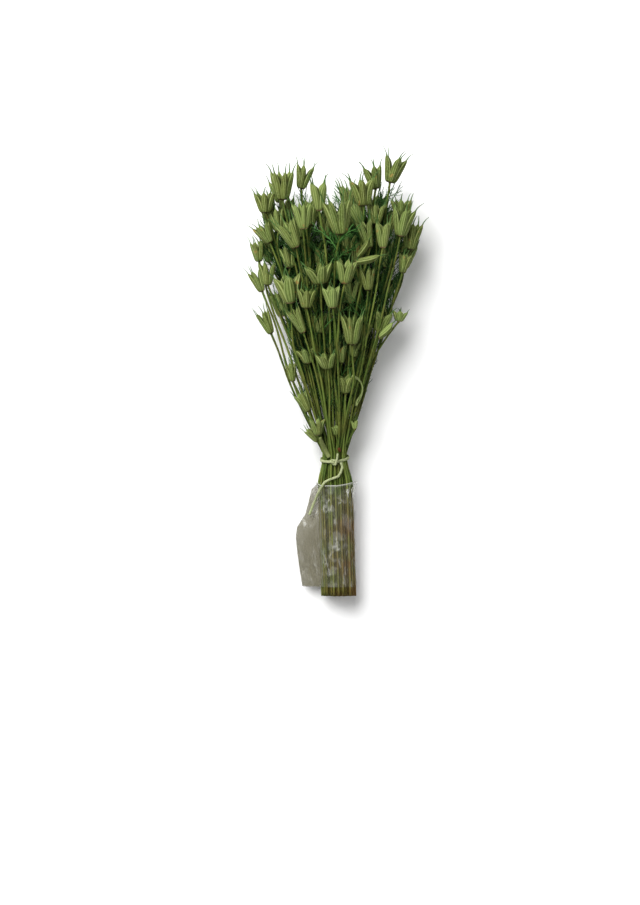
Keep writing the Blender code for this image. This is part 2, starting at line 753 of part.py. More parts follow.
def as_mesh(piece):
    """Turns a curve object into a mesh object with its caps welded."""
    mesh = bpy.data.meshes.new_from_object(piece.evaluated_get(bpy.context.evaluated_depsgraph_get()))
    bm = bmesh.new()
    bm.from_mesh(mesh)
    bmesh.ops.remove_doubles(bm, verts=bm.verts, dist=1e-6)
    bmesh.ops.recalc_face_normals(bm, faces=bm.faces)
    bm.to_mesh(mesh)
    bm.free()
    name = piece.name
    bpy.data.objects.remove(piece)
    body = bpy.data.objects.new(name, mesh)
    COLLECTION.objects.link(body)
    return body


def tie_point(angle, radius):
    """Gives a point of the string's ring round the neck."""
    x = radius * math.cos(angle)
    z = radius * math.sin(angle)
    y = TIE_MIDDLE_Y + TIE_SLOPE_X * x + TIE_SLOPE_Z * z
    return Vector((x, y, z + axis_z(y)))


def build_tie(material):
    """Makes the string round the neck with its knot and one short cut end."""
    angles = [2.0 * math.pi * side / TIE_SIDES for side in range(TIE_SIDES)]
    loop = as_mesh(curve_tube(
        "tie", [tie_point(a, TIE_RADIUS) for a in angles], STRING_RADIUS, 1, True, material
    ))
    place = tie_point(math.radians(KNOT_ANGLE), TIE_RADIUS + 0.6)
    bm = bmesh.new()
    bmesh.ops.create_icosphere(bm, subdivisions=2, radius=1.0)
    bmesh.ops.scale(bm, vec=Vector(KNOT_HALF), verts=bm.verts)
    bmesh.ops.translate(bm, vec=place, verts=bm.verts)
    knot = finish_mesh(bm, "knot", material)
    end_line = [place + Vector(offset) for offset in SHORT_END]
    short_end = as_mesh(curve_tube("short_end", end_line, 0.8, 1, False, material))
    return fuse(loop, [knot, short_end])


def film_point(y, direction, inset):
    """Gives a point of the sleeve's wall in a direction, as a hull round the stems and the flap's fold."""
    outer = np.interp(-y, [-s for s in SLEEVE_Y], SLEEVE_OUTER) - inset
    reach = np.interp(-y, [-s for s in SLEEVE_Y], FLAP_REACH)
    fold = FLAP_FOLD_RADIUS - inset
    normal = Vector((math.cos(direction), 0.0, math.sin(direction)))
    middle = Vector((axis_x(y), y, axis_z(y)))
    tip = Vector((-(reach - FLAP_FOLD_RADIUS), y, axis_z(y) - FLAP_DROP))
    on_stems = middle + normal * outer
    on_fold = tip + normal * fold
    return on_fold if on_fold.dot(normal) > on_stems.dot(normal) else on_stems


def build_sleeve(material):
    """Makes the film sleeve as an open tube with a wall, ring by ring down the outside and up the inside."""
    bm = bmesh.new()
    directions = [2.0 * math.pi * n / FILM_DIRECTIONS for n in range(FILM_DIRECTIONS)]
    outside = [[film_point(y, d, 0.0) for d in directions] for y in SLEEVE_Y]
    inside = [[film_point(y, d, FILM_WALL) for d in directions] for y in reversed(SLEEVE_Y)]
    rings = []
    for places in outside + inside:
        circle = bmesh.ops.create_circle(bm, cap_ends=False, segments=FILM_DIRECTIONS, radius=1.0)["verts"]
        for vertex, place in zip(circle, places):
            vertex.co = place
        rings.append(list({edge for vertex in circle for edge in vertex.link_edges}))
    for one, other in zip(rings, rings[1:] + rings[:1]):
        bmesh.ops.bridge_loops(bm, edges=one + other)
    return finish_mesh(bm, "sleeve", material)


def bundle_top(x, y):
    """Gives the height of the upper side of the stems below the neck, over a place."""
    radius = BUNDLE_RADIUS * lower_scale(y)
    offset = min(abs(x - axis_x(y)), radius * 0.97)
    return axis_z(y) + math.sqrt(radius**2 - offset**2)


def sleeve_top(x, y):
    """Gives the height of the upper side of the sleeve over a place."""
    steps = [math.radians(d) for d in range(10, 190, 6)]
    outline = sorted((p.x, p.z) for p in (film_point(y, d, 0.0) for d in steps))
    return float(np.interp(x, *zip(*outline)))


def resting_height(x, y):
    """Gives the height at which the tail's middle line rests on the stems, the string and the sleeve."""
    reach = TAIL_RADIUS + TAIL_CLEARANCE
    best = 0.0
    for dx, dy in TAIL_FEELERS:
        over_x, over_y = x + dx * reach, y + dy * reach
        top = bundle_top(over_x, over_y)
        if over_y <= SLEEVE_RIM_Y:
            top = max(top, sleeve_top(over_x, over_y))
        if over_y > KNOT_LOW_Y:
            top = max(top, axis_z(over_y) + TIE_RADIUS + STRING_RADIUS)
        best = max(best, top + reach * math.sqrt(1.0 - dx * dx - dy * dy))
    return best


def smooth_route(points):
    """Reads points a millimetre apart from a smooth curve through a route's own points."""
    fine = []
    padded = [points[0]] + list(points) + [points[-1]]
    for before, start, end, after in zip(padded, padded[1:], padded[2:], padded[3:]):
        for t in np.linspace(0.0, 1.0, 12, endpoint=False):
            even = 2.0 * start + (end - before) * t
            square = (2.0 * before - 5.0 * start + 4.0 * end - after) * t**2
            cube = (3.0 * start - before - 3.0 * end + after) * t**3
            fine.append(0.5 * (even + square + cube))
    fine.append(points[-1])
    return even_steps(fine, 1.0)


def even_steps(points, step):
    """Spaces points evenly along a line."""
    lengths = np.cumsum([0.0] + [(b - a).length for a, b in zip(points, points[1:])])
    stations = np.linspace(0.0, lengths[-1], int(round(lengths[-1] / step)) + 1)
    columns = [np.interp(stations, lengths, [point[k] for point in points]) for k in range(3)]
    return [Vector(place) for place in zip(*columns)]


def tail_points():
    """Lays the string's tail over the stems and then over the sleeve, clear of both."""
    flat = smooth_route([Vector((x, y, 0.0)) for x, y in TAIL_ROUTE])
    rest = [resting_height(point.x, point.y) for point in flat]
    reach = 5
    high = [max(rest[max(n - reach, 0):n + reach + 1]) for n in range(len(rest))]
    calm = [float(np.mean(high[max(n - reach, 0):n + reach + 1])) for n in range(len(rest))]
    lifted = [Vector((point.x, point.y, z)) for point, z in zip(flat, calm)]
    return even_steps(lifted, TAIL_STEP)


def stand_on_surface(pieces):
    """Moves everything so that the bunch rests on the surface and is centred over the origin."""
    solids = [piece for piece in pieces if piece.name != "tie_tail"]
    corners = np.concatenate([
        np.array([tuple(vertex.co) for vertex in piece.data.vertices]) for piece in solids
    ])
    low, high = corners.min(axis=0), corners.max(axis=0)
    shift = Vector((-(low[0] + high[0]) / 2.0, -(low[1] + high[1]) / 2.0, -low[2]))
    for piece in pieces:
        if piece.type == "MESH":
            piece.data.transform(Matrix.Translation(shift))
        else:
            piece.location = shift
    return shift


def material(name, colour, roughness, alpha=1.0):
    """Makes a plain material for one kind of sub-part."""
    made = bpy.data.materials.new(name)
    made.use_nodes = True
    shader = made.node_tree.nodes["Principled BSDF"]
    shader.inputs["Base Color"].default_value = colour
    shader.inputs["Roughness"].default_value = roughness
    shader.inputs["Metallic"].default_value = 0.0
    shader.inputs["Alpha"].default_value = alpha
    return made


def plan_bunch():
    """Lays out every stem and pod, and finds clear ways for the beaks and the thread leaves."""
    rng = np.random.default_rng(SEED)
    strands = front_strands() + hidden_strands()
    for number, strand in enumerate(strands):
        strand.turn = GOLDEN_ANGLE * number
        strand.name = f"side_shoot_{number + 1:02d}"
    stems = first_paths(strands)
    for number, stem in enumerate(stems):
        stem.name = f"pod_stem_{number + 1:02d}"
    choose_parents(strands, stems)
    relax(strands)
    room = Room(strands)
    fit_beaks(strands, room)
    threads = grow_threads(strands, room, rng)
    return strands, threads


def build_bunch():
    """Builds every piece of the bunch."""
    for piece in list(bpy.data.objects):
        bpy.data.objects.remove(piece)
    bpy.context.scene.collection.children.link(COLLECTION)
    strands, threads = plan_bunch()
    pieces = []
    for strand in strands:
        if strand.parent:
            continue
        green = material(strand.name, GREEN_POD, 0.72)
        body = strand_body(strand, green)
        extras = [strand_body(shoot, green) for shoot in strands if shoot.parent is strand]
        extras += [thread_body(line, "thread", green) for line in threads.get(strand.name, [])]
        pieces.append(fuse(body, extras))
    pieces.append(build_tie(material("tie", STRING_SAGE, 0.85)))
    tail = curve_tube("tie_tail", tail_points(), TAIL_RADIUS, 2, False, material("tail", STRING_SAGE, 0.85))
    pieces.append(tail)
    pieces.append(build_sleeve(material("film", FILM_CLEAR, 0.15, 0.4)))
    stand_on_surface(pieces)


build_bunch()
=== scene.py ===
"""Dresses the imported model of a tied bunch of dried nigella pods, lying on its side.

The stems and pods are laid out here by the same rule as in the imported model, so each dressed stem lies
where its solid lies. Lengths are in millimetres from the bunch's neck until a mesh is made: x runs right,
y runs up the bunch and z is the height above the surface.
"""

import json
import logging
import math
from dataclasses import dataclass, field
from enum import Enum

import bmesh
import bpy
import numpy as np
from bpy.types import Material, Node, NodeSocket, NodeTree, Object
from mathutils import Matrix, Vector, noise

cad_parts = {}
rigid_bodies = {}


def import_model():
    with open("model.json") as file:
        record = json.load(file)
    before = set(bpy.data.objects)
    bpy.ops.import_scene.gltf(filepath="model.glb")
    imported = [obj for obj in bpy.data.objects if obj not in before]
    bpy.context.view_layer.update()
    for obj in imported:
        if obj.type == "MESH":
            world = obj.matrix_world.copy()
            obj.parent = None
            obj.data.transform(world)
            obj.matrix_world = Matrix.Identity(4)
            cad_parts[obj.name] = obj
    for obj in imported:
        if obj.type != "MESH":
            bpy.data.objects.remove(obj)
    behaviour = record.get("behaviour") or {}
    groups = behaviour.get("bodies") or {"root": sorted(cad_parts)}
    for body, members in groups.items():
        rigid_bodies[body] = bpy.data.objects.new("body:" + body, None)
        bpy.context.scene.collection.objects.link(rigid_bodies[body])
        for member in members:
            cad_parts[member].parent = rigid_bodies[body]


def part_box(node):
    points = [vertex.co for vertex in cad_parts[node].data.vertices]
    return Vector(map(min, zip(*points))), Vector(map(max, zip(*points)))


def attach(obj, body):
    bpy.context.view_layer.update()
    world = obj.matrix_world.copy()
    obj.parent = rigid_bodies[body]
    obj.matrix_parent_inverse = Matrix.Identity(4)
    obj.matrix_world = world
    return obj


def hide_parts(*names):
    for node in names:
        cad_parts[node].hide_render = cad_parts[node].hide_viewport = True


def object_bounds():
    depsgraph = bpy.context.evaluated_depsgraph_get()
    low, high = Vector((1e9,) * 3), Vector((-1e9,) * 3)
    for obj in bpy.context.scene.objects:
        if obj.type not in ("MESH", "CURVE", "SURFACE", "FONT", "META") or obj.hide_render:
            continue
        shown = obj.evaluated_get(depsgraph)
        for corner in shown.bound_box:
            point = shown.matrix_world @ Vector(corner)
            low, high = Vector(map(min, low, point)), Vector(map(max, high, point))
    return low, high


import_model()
CAD_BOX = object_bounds()
LOG = logging.getLogger("nigella_bunch")
MM = 0.001
SEED = 11
TURN = 2.0 * math.pi
GOLDEN_ANGLE = math.pi * (3.0 - math.sqrt(5.0))
UP = Vector((0.0, 0.0, 1.0))
Pair = tuple[float, float]
Triple = tuple[float, float, float]
Colour = Triple


@dataclass(frozen=True)
class BunchSizes:
    """The sizes in millimetres, and the shares, that lay out the bunch."""

    cut_end_y: float = -140.0
    sleeve_end_y: float = -131.0
    sleeve_rim_y: float = -25.0
    waist_y: float = 5.0
    spread_end_y: float = -24.0
    level_step: float = 6.0
    top_y: float = 318.0
    neck_pitch: float = 3.2
    stem_radius: float = 1.2
    shoot_radius: float = 0.9
    lower_spread: float = 1.30
    lower_drift: float = -0.031
    touch_gap: float = 0.8
    sleeve_radius: float = 18.9
    axis_rise: float = 0.086
    shoot_length: float = 46.0
    relax_rounds: int = 700
    free_rounds: int = 90
    push_share: float = 0.42
    floor_gap: float = 0.2
    pod_margin: float = 0.6
    fork_levels: int = 4
    bundle_radius: float = 13.2
    crown_margin: float = 6.0
    least_round: float = 0.08
    front_lean: float = 0.10
    near_neck: float = 40.0
    wish_share: float = 0.75
    bow: float = 0.22
    lean_pull: float = 0.3
    free_lean_pull: float = 0.05
    smoothing: float = 0.6
    free_smoothing: float = 0.25
    beak_air: float = 0.8
    beak_radius: float = 0.7


SIZES = BunchSizes()
HOME_PULL = np.array([0.12, 0.042])

# The head: half its width and half its depth at heights above the neck.
HEAD_Y = (0.0, 17.0, 47.0, 67.0, 117.0, 157.0, 207.0, 257.0, 310.0)
HEAD_HALF_WIDTH = (14.5, 20.0, 31.0, 40.0, 54.0, 68.0, 85.0, 82.0, 70.0)
HEAD_HALF_DEPTH = (14.5, 19.0, 27.0, 33.0, 43.0, 49.0, 56.0, 56.0, 52.0)

# The pods of the front, one row each: the foot, the two corners of the crown, how far the pod lies from
# the middle of the bunch towards the viewer, how many follicles it has, whether it grows on a side shoot,
# and how pale it is, from 0 to 1, or None where chance sets it.
SEEN_PODS = (
    (-69, 244, -80, 265, -60, 260, 0.20, 5, False, 0.22),
    (-52, 254, -64, 280, -41, 279, 0.45, 6, False, 0.45),
    (-34, 266, -37, 290, -21, 284, 0.10, 5, False, 0.28),
    (-14, 246, -24, 272, -6, 270, 0.80, 4, False, 0.94),
    (-31, 227, -42, 249, -23, 252, 0.75, 6, False, 1.0),
    (2, 220, -16, 251, 10, 251, 0.90, 6, False, 0.55),
    (-37, 205, -57, 224, -39, 233, 0.70, 5, False, 0.78),
    (29, 252, 14, 276, 39, 276, 0.35, 6, False, 0.26),
    (41, 270, 27, 290, 46, 291, 0.00, 5, False, 0.18),
    (55, 274, 51, 301, 71, 293, 0.15, 5, False, 0.22),
    (65, 217, 58, 242, 80, 242, 0.50, 5, False, 0.58),
    (73, 206, 66, 229, 86, 231, 0.10, 5, False, 0.08),
    (67, 239, 57, 256, 77, 258, 0.00, 5, False, 0.38),
    (67, 181, 64, 198, 76, 199, 0.30, 4, True, 0.42),
    (48, 211, 40, 234, 56, 234, 0.65, 4, False, 0.74),
    (43, 235, 37, 253, 53, 254, 0.20, 5, True, None),
    (35, 210, 21, 235, 37, 235, 0.45, 5, False, 0.3),
    (27, 230, 10, 250, 31, 250, 0.10, 5, True, None),
    (7, 174, -3, 196, 18, 194, 0.90, 5, False, 0.76),
    (-14, 173, -31, 192, -4, 188, 0.85, 5, False, 0.62),
    (33, 167, 24, 188, 39, 187, 0.60, 5, False, 0.45),
    (-44, 154, -61, 176, -36, 182, 0.60, 4, False, 0.7),
    (-27, 151, -35, 170, -17, 167, 0.75, 5, False, 0.5),
    (-4, 149, -15, 169, 2, 168, 0.95, 4, False, 0.92),
    (-71, 166, -84, 181, -73, 189, 0.15, 5, False, 0.72),
    (-66, 174, -74, 195, -57, 194, 0.40, 5, False, None),
    (-76, 197, -85, 214, -71, 216, -0.10, 5, False, 0.26),
    (-61, 215, -78, 232, -61, 231, 0.15, 5, False, None),
    (-31, 126, -48, 146, -35, 150, 0.60, 5, False, 0.64),
    (-17, 122, -25, 138, -10, 140, 0.45, 5, True, None),
    (16, 112, 5, 140, 26, 139, 0.95, 6, False, 0.48),
    (28, 115, 23, 137, 39, 137, 0.40, 5, True, 0.38),
    (-61, 121, -76, 139, -63, 143, 0.20, 5, False, 0.42),
    (41, 121, 37, 142, 55, 139, 0.40, 4, False, 0.34),
    (60, 137, 54, 146, 68, 147, 0.10, 4, True, None),
    (52, 139, 46, 153, 58, 154, -0.20, 4, True, None),
    (-26, 93, -39, 107, -20, 107, 0.60, 5, False, None),
    (-4, 91, -15, 104, 5, 106, 0.95, 5, False, 0.66),
    (-44, 79, -51, 95, -41, 97, 0.10, 4, True, None),
    (11, 63, 1, 80, 18, 79, 0.90, 4, False, 0.52),
    (-25, 46, -40, 63, -27, 63, 0.60, 4, False, None),
    (-13, 22, -21, 36, -6, 38, 0.80, 5, False, 0.6),
    (-20, 18, -32, 26, -26, 33, 0.50, 4, True, 0.82),
    (18, 25, 15, 33, 23, 33, 0.60, 3, True, 0.9),
    (1, 23, -4, 32, 5, 32, 0.90, 3, True, None),
    (21, 97, 18, 110, 29, 112, 0.50, 4, True, None),
    (7, 95, 2, 111, 12, 112, 0.50, 4, True, None),
    (-50, 141, -66, 161, -51, 165, -0.10, 5, False, None),
    (17, 153, 10, 173, 26, 174, 0.30, 5, False, None),
    (51, 188, 45, 212, 61, 214, -0.10, 5, False, None),
)


@dataclass(frozen=True)
class HiddenRule:
    """How the pods of the underside are spread, in millimetres and shares."""

    count: int = 18
    lowest_y: float = 62.0
    highest_y: float = 262.0
    crowding: float = 0.8
    swing_step: float = 1.7
    inset: float = 6.0
    flatness: float = 0.6
    depths: tuple[float, ...] = (1.0, 0.74, 0.48)
    crown: float = 9.8
    crown_change: Pair = (1.6, 2.1)
    height: float = 23.5
    height_change: Pair = (3.0, 1.3)
    width_share: float = 0.74
    lean: Pair = (0.16, -0.06)


@dataclass(frozen=True)
class InnerRule:
    """How many smaller pods fill the inside of the head, and their sizes in millimetres."""

    count: int = 44
    tries: int = 6000
    lowest_y: float = 66.0
    highest_y: float = 236.0
    crowding: float = 0.7
    across: Pair = (-0.9, 0.9)
    sunk: Pair = (-0.9, 0.05)
    reach: float = 0.92
    crown: Pair = (7.0, 9.6)
    height: Pair = (19.0, 24.0)
    girth: float = 0.62
    probes: tuple[float, ...] = (0.15, 0.4, 0.65, 0.9)
    lean_share: float = 0.8
    lean_from: float = 50.0
    beak: float = 0.9
    fork_steps: tuple[int, ...] = (7, 9, 11)
    near_stems: int = 5
    sweep: Pair = (0.45, 0.55)
    rooted_points: int = 3
    slack: float = 0.3


# As shares of a pod's crown and height: the root and the tip of its beaks, how much of a beak is kept where
# it is crowded, and how wide the pod is at each share of its height.
BEAK_ROOT = (0.80, 0.97, 1.02)
BEAK_TIP = (1.24, 1.42)
BEAK_SHARES = (1.0, 0.8, 0.6, 0.4, 0.2)
POD_DISC = ((0.0, 0.20), (0.07, 0.40), (0.42, 0.68), (0.80, 1.0), (1.05, 1.0))
LEVELS = SIZES.cut_end_y + SIZES.level_step * np.arange(
    int((SIZES.top_y - SIZES.cut_end_y) / SIZES.level_step) + 1
)


def level_of(y: float) -> int:
    """Gives the number of the nearest level at a height y."""
    return int(round((y - SIZES.cut_end_y) / SIZES.level_step))


def axis_x(y: float) -> float:
    """Gives the sideways place of the bunch's middle line at a height y."""
    return SIZES.lower_drift * min(y + SIZES.waist_y, 0.0)


def axis_z(y: float) -> float:
    """Gives the height of the bunch's middle line above the surface at a height y."""
    return SIZES.sleeve_radius + SIZES.axis_rise * (y - SIZES.sleeve_end_y)


def lower_scale(y: float) -> float:
    """Gives how far the stems spread at a height y below the neck."""
    if y > -SIZES.waist_y:
        return 1.0
    share = min((-SIZES.waist_y - y) / (-SIZES.waist_y - SIZES.spread_end_y), 1.0)
    return 1.0 + (SIZES.lower_spread - 1.0) * share


def head_size(y: float) -> Pair:
    """Gives half the width and half the depth of the head at a height y."""
    return float(np.interp(y, HEAD_Y, HEAD_HALF_WIDTH)), float(np.interp(y, HEAD_Y, HEAD_HALF_DEPTH))


def across(axis: Vector) -> tuple[Vector, Vector]:
    """Gives two directions at right angles to an axis and to each other."""
    first = (UP - axis * UP.dot(axis)).normalized()
    return first, axis.cross(first)


def swung(first: Vector, second: Vector, angle: float) -> Vector:
    """Gives the direction at an angle from the first towards the second."""
    return first * math.cos(angle) + second * math.sin(angle)


def rows_of(vectors: list | tuple) -> np.ndarray:
    """Gives places or directions as the rows of an array."""
    return np.array([tuple(vector) for vector in vectors], dtype=float)


def limited(value: float, low: float = 0.0, high: float = 1.0) -> float:
    """Keeps a value between two limits."""
    return min(max(value, low), high)


def stretches(points: list[Vector]) -> np.ndarray:
    """Gives how far along a line each of its points lies."""
    return np.cumsum([0.0] + [(end - start).length for start, end in zip(points, points[1:])])


NECK_LEVEL = level_of(SIZES.waist_y)


@dataclass(eq=False)
class Strand:
    """One stem or side shoot with its pod, as a path of levels through the bunch."""

    foot: Triple
    crown: float
    height: float
    lean: Pair
    horns: int
    side: bool = False
    name: str = ""
    parent: "Strand | None" = None
    first: int = 0
    slot: Pair = (0.0, 0.0)
    turn: float = 0.0
    tint: float | None = None
    path: np.ndarray = field(default_factory=lambda: np.zeros((len(LEVELS), 2)))
    beaks: list[float] = field(default_factory=list)

    @property
    def top(self) -> int:
        """Gives the level of the pod's foot."""
        return level_of(self.foot[1])

    def owner(self) -> str:
        """Gives the name of the stem that the strand belongs to."""
        return self.parent.name if self.parent else self.name

    def line(self) -> list[Vector]:
        """Gives the middle line of the strand's stem, from its cut end or its fork to its pod."""
        return [
            Vector((self.path[n][0], LEVELS[n], self.path[n][1] + axis_z(LEVELS[n])))
            for n in range(self.first, self.top + 1)
        ]

    def pod_frame(self) -> tuple[Vector, Vector, Vector, Vector]:
        """Gives the pod's foot, its axis and the two directions across it."""
        slope = (self.path[self.top + 2] - self.path[self.top]) / (2.0 * SIZES.level_step)
        axis = Vector((slope[0], 1.0, slope[1] + SIZES.axis_rise)).normalized()
        return Vector(self.foot), axis, *across(axis)

    def outward(self, horn: int) -> Vector:
        """Gives the direction from the pod's axis to the follicle of a number."""
        _, _, first, second = self.pod_frame()
        return swung(first, second, self.turn + TURN * horn / self.horns)

    def beak(self, horn: int, share: float) -> tuple[Vector, Vector]:
        """Gives the root and the tip of one beak.

        Args:
            horn: the number of the follicle that carries it.
            share: how much of its full length the beak has.

        Returns:
            The two ends, in millimetres.
        """
        foot, axis, _, _ = self.pod_frame()
        outward = self.outward(horn)
        root_radius = self.crown * (BEAK_ROOT[0] + BEAK_ROOT[1]) / 2.0
        root = foot + outward * root_radius + axis * (self.height * BEAK_ROOT[2])
        full = foot + outward * (self.crown * BEAK_TIP[0]) + axis * (self.height * BEAK_TIP[1])
        return root, root.lerp(full, share)


class FilledRoom:
    """What already fills the bunch, for finding clear ways, with the air that is left around it."""

    FLOOR_AIR = 0.3
    STEM_AIR = 0.4
    POD_AIR = 0.5
    POD_SPAN = (-0.05, 1.12)

    def __init__(self, strands: list[Strand]) -> None:
        """Fills the room with every stem and notes every pod.

        Args:
            strands: the strands, in their final places.
        """
        self.fills: list[tuple[float, ...]] = []
        self.owners: list[str] = []
        self.pods = [(strand.owner(), strand, strand.pod_frame()) for strand in strands]
        for strand in strands:
            self.add_stem(strand, SIZES.shoot_radius if strand.parent else SIZES.stem_radius)

    def add_stem(self, strand: Strand, radius: float) -> None:
        """Fills the way of a strand's stem, of a radius."""
        line = strand.line()
        for start, end in zip(line, line[1:]):
            self.add(start, end, radius, strand.owner())

    def add(self, start: Vector, end: Vector, radius: float, owner: str) -> None:
        """Fills a straight stretch from start to end, of a radius, that belongs to an owner."""
        self.fills.append((*start, *end, radius))
        self.owners.append(owner)

    def clear(self, points: list[Vector], radius: float, owner: str) -> bool:
        """Tells whether a line is clear of everything that isn't its owner's.

        Args:
            points: the line's points.
            radius: half its thickness.
            owner: the name of the stem that it grows on.

        Returns:
            True where nothing is in its way.
        """
        spots = rows_of(points)
        if spots[:, 2].min() < radius + self.FLOOR_AIR:
            return False
        fills = np.array(self.fills)
        starts, radii = fills[:, :3], fills[:, 6]
        along = fills[:, 3:6] - starts
        length = np.maximum((along**2).sum(axis=1), 1e-9)
        share = ((spots[:, None] - starts[None]) * along[None]).sum(axis=2) / length[None]
        nearest = starts[None] + np.clip(share, 0.0, 1.0)[..., None] * along[None]
        gaps = np.linalg.norm(spots[:, None] - nearest, axis=2)
        gaps -= radii[None] + radius + self.STEM_AIR
        if gaps[:, np.array([name != owner for name in self.owners])].min() < 0.0:
            return False
        return not any(
            self.in_pod(spots, strand, place, radius)
            for name, strand, place in self.pods if name != owner
        )

    @classmethod
    def in_pod(cls, spots: np.ndarray, strand: Strand, place: tuple, radius: float) -> bool:
        """Tells whether any of the spots lies in a strand's pod.

        Args:
            spots: places, one row each.
            strand: the strand that carries the pod.
            place: what the strand's pod_frame gives.
            radius: half the thickness of what is at the spots.

        Returns:
            True where one does.
        """
        foot, axis = np.array(place[0]), np.array(place[1])
        offset = spots - foot
        rise = offset @ axis
        out = np.sqrt(np.maximum((offset**2).sum(axis=1) - rise**2, 0.0))
        share = rise / strand.height
        shares, widths = zip(*POD_DISC)
        wide = np.interp(share, shares, widths) * strand.crown
        within = (share > cls.POD_SPAN[0]) & (share < cls.POD_SPAN[1])
        return bool(np.any(within & (out < wide + radius + cls.POD_AIR)))


@dataclass
class BunchPlan:
    """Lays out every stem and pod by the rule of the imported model."""

    hidden: HiddenRule = field(default_factory=HiddenRule)
    inner: InnerRule = field(default_factory=InnerRule)
    strands: list[Strand] = field(default_factory=list)
    stems: list[Strand] = field(default_factory=list)

    def lay_out(self) -> None:
        """Places the strands, moves them apart and fits the beaks between them."""
        self.strands = self.front_strands() + self.hidden_strands()
        for number, strand in enumerate(self.strands):
            strand.turn = GOLDEN_ANGLE * number
            strand.name = f"side_shoot_{number + 1:02d}"
            strand.beaks = [1.0] * strand.horns
        self.stems = [strand for strand in self.strands if not strand.side]
        self.first_paths()
        for number, stem in enumerate(self.stems):
            stem.name = f"pod_stem_{number + 1:02d}"
        self.choose_parents()
        self.relax()
        room = FilledRoom(self.strands)
        self.fit_beaks(room)
        self.add_inner_shoots(room)

    def front_strands(self) -> list[Strand]:
        """Turns the pods of the front into strands.

        Returns:
            The strands, in the order of the table.
        """
        strands = []
        for foot_x, foot_y, left_x, left_y, right_x, right_y, depth, horns, side, tint in SEEN_PODS:
            crown = Vector(((left_x + right_x) / 2.0, (left_y + right_y) / 2.0))
            along = crown - Vector((foot_x, foot_y))
            half = math.hypot(right_x - left_x, right_y - left_y) / 2.0
            wide, deep = head_size(foot_y)
            narrowed = 1.0 - (foot_x / (wide + SIZES.crown_margin)) ** 2
            rise = depth * (deep - half) * math.sqrt(max(narrowed, SIZES.least_round))
            lean = (along.x / along.y, SIZES.front_lean * depth)
            place = (foot_x, foot_y, axis_z(foot_y) + rise)
            strands.append(Strand(place, half, along.length, lean, horns, side, tint=tint))
        return strands

    def hidden_strands(self) -> list[Strand]:
        """Places the pods of the underside evenly over it.

        Returns:
            The strands that carry them.
        """
        rule = self.hidden
        strands = []
        for number in range(rule.count):
            share = (number + 0.5) / rule.count
            y = rule.lowest_y + (rule.highest_y - rule.lowest_y) * share**rule.crowding
            swing = math.sin(GOLDEN_ANGLE * (number + 1) * rule.swing_step)
            wide, deep = head_size(y)
            down = rule.depths[number % len(rule.depths)]
            z = axis_z(y) - down * (deep - rule.inset) * math.sqrt(1.0 - rule.flatness * swing * swing)
            crown = rule.crown + rule.crown_change[0] * math.sin(rule.crown_change[1] * number)
            height = rule.height + rule.height_change[0] * math.cos(rule.height_change[1] * number)
            lean = (rule.lean[0] * swing, rule.lean[1])
            place = (rule.width_share * wide * swing, y, z)
            strands.append(Strand(place, crown, height, lean, 5 if number % 4 else 6))
        return strands

    @staticmethod
    def neck_slots(count: int) -> np.ndarray:
        """Gives places for a number of stems in the neck, on a close grid, nearest the middle first.

        Args:
            count: how many stems there are.

        Returns:
            The places, one row each.
        """
        reach = range(-6, 7)
        grid = [
            ((column + 0.5 * (row % 2)) * SIZES.neck_pitch, row * SIZES.neck_pitch * math.sqrt(0.75))
            for row in reach
            for column in reach
        ]
        grid.sort(key=lambda place: (round(math.hypot(*place), 3), place))
        return np.array(grid[:count])

    def first_paths(self) -> None:
        """Gives each strand a straight first path from its place in the neck to its pod's foot."""
        stems = self.stems
        slots = self.neck_slots(len(stems))
        wish = np.array([
            [x / max(y, SIZES.near_neck), (z - axis_z(y)) / max(y, SIZES.near_neck)]
            for x, y, z in (stem.foot for stem in stems)
        ])
        wish *= SIZES.wish_share * np.abs(slots).max() / np.abs(wish).max()
        order = list(range(len(stems)))
        better = True
        while better:
            better = False
            for i in range(len(stems)):
                for j in range(i + 1, len(stems)):
                    if (wish[i] - wish[j]) @ (slots[order[j]] - slots[order[i]]) > 1e-9:
                        order[i], order[j] = order[j], order[i]
                        better = True
        for stem, place in zip(stems, order):
            stem.slot = tuple(slots[place])
        for strand in self.strands:
            self.first_path(strand)

    @staticmethod
    def first_path(strand: Strand) -> None:
        """Gives one strand its straight first path.

        Args:
            strand: the strand, whose path is set.
        """
        x, y, z = strand.foot
        foot = np.array([x, z - axis_z(y)])
        for level, height in enumerate(LEVELS):
            share = min(max(height - SIZES.waist_y, 0.0) / (y - SIZES.waist_y), 1.0)
            bow = share * (1.0 + SIZES.bow * (1.0 - share))
            start = np.array(strand.slot) * lower_scale(height) + np.array([axis_x(height), 0.0])
            strand.path[level] = start + (foot - start) * bow
            if height > y:
                strand.path[level] = foot + np.array(strand.lean) * (height - y)

    def choose_parents(self) -> None:
        """Joins each side shoot to the stem that passes nearest below its pod."""
        taken = set()
        for strand in self.strands:
            if not strand.side:
                continue
            fork = max(level_of(strand.foot[1] - SIZES.shoot_length), NECK_LEVEL + 1)
            foot = np.array([strand.foot[0], strand.foot[2] - axis_z(strand.foot[1])])
            reach = [stem for stem in self.stems if stem.name not in taken and stem.top > fork + 2]
            strand.parent = min(
                reach, key=lambda stem: np.hypot(*(stem.path[min(strand.top, stem.top)] - foot))
            )
            taken.add(strand.parent.name)
            strand.first = fork

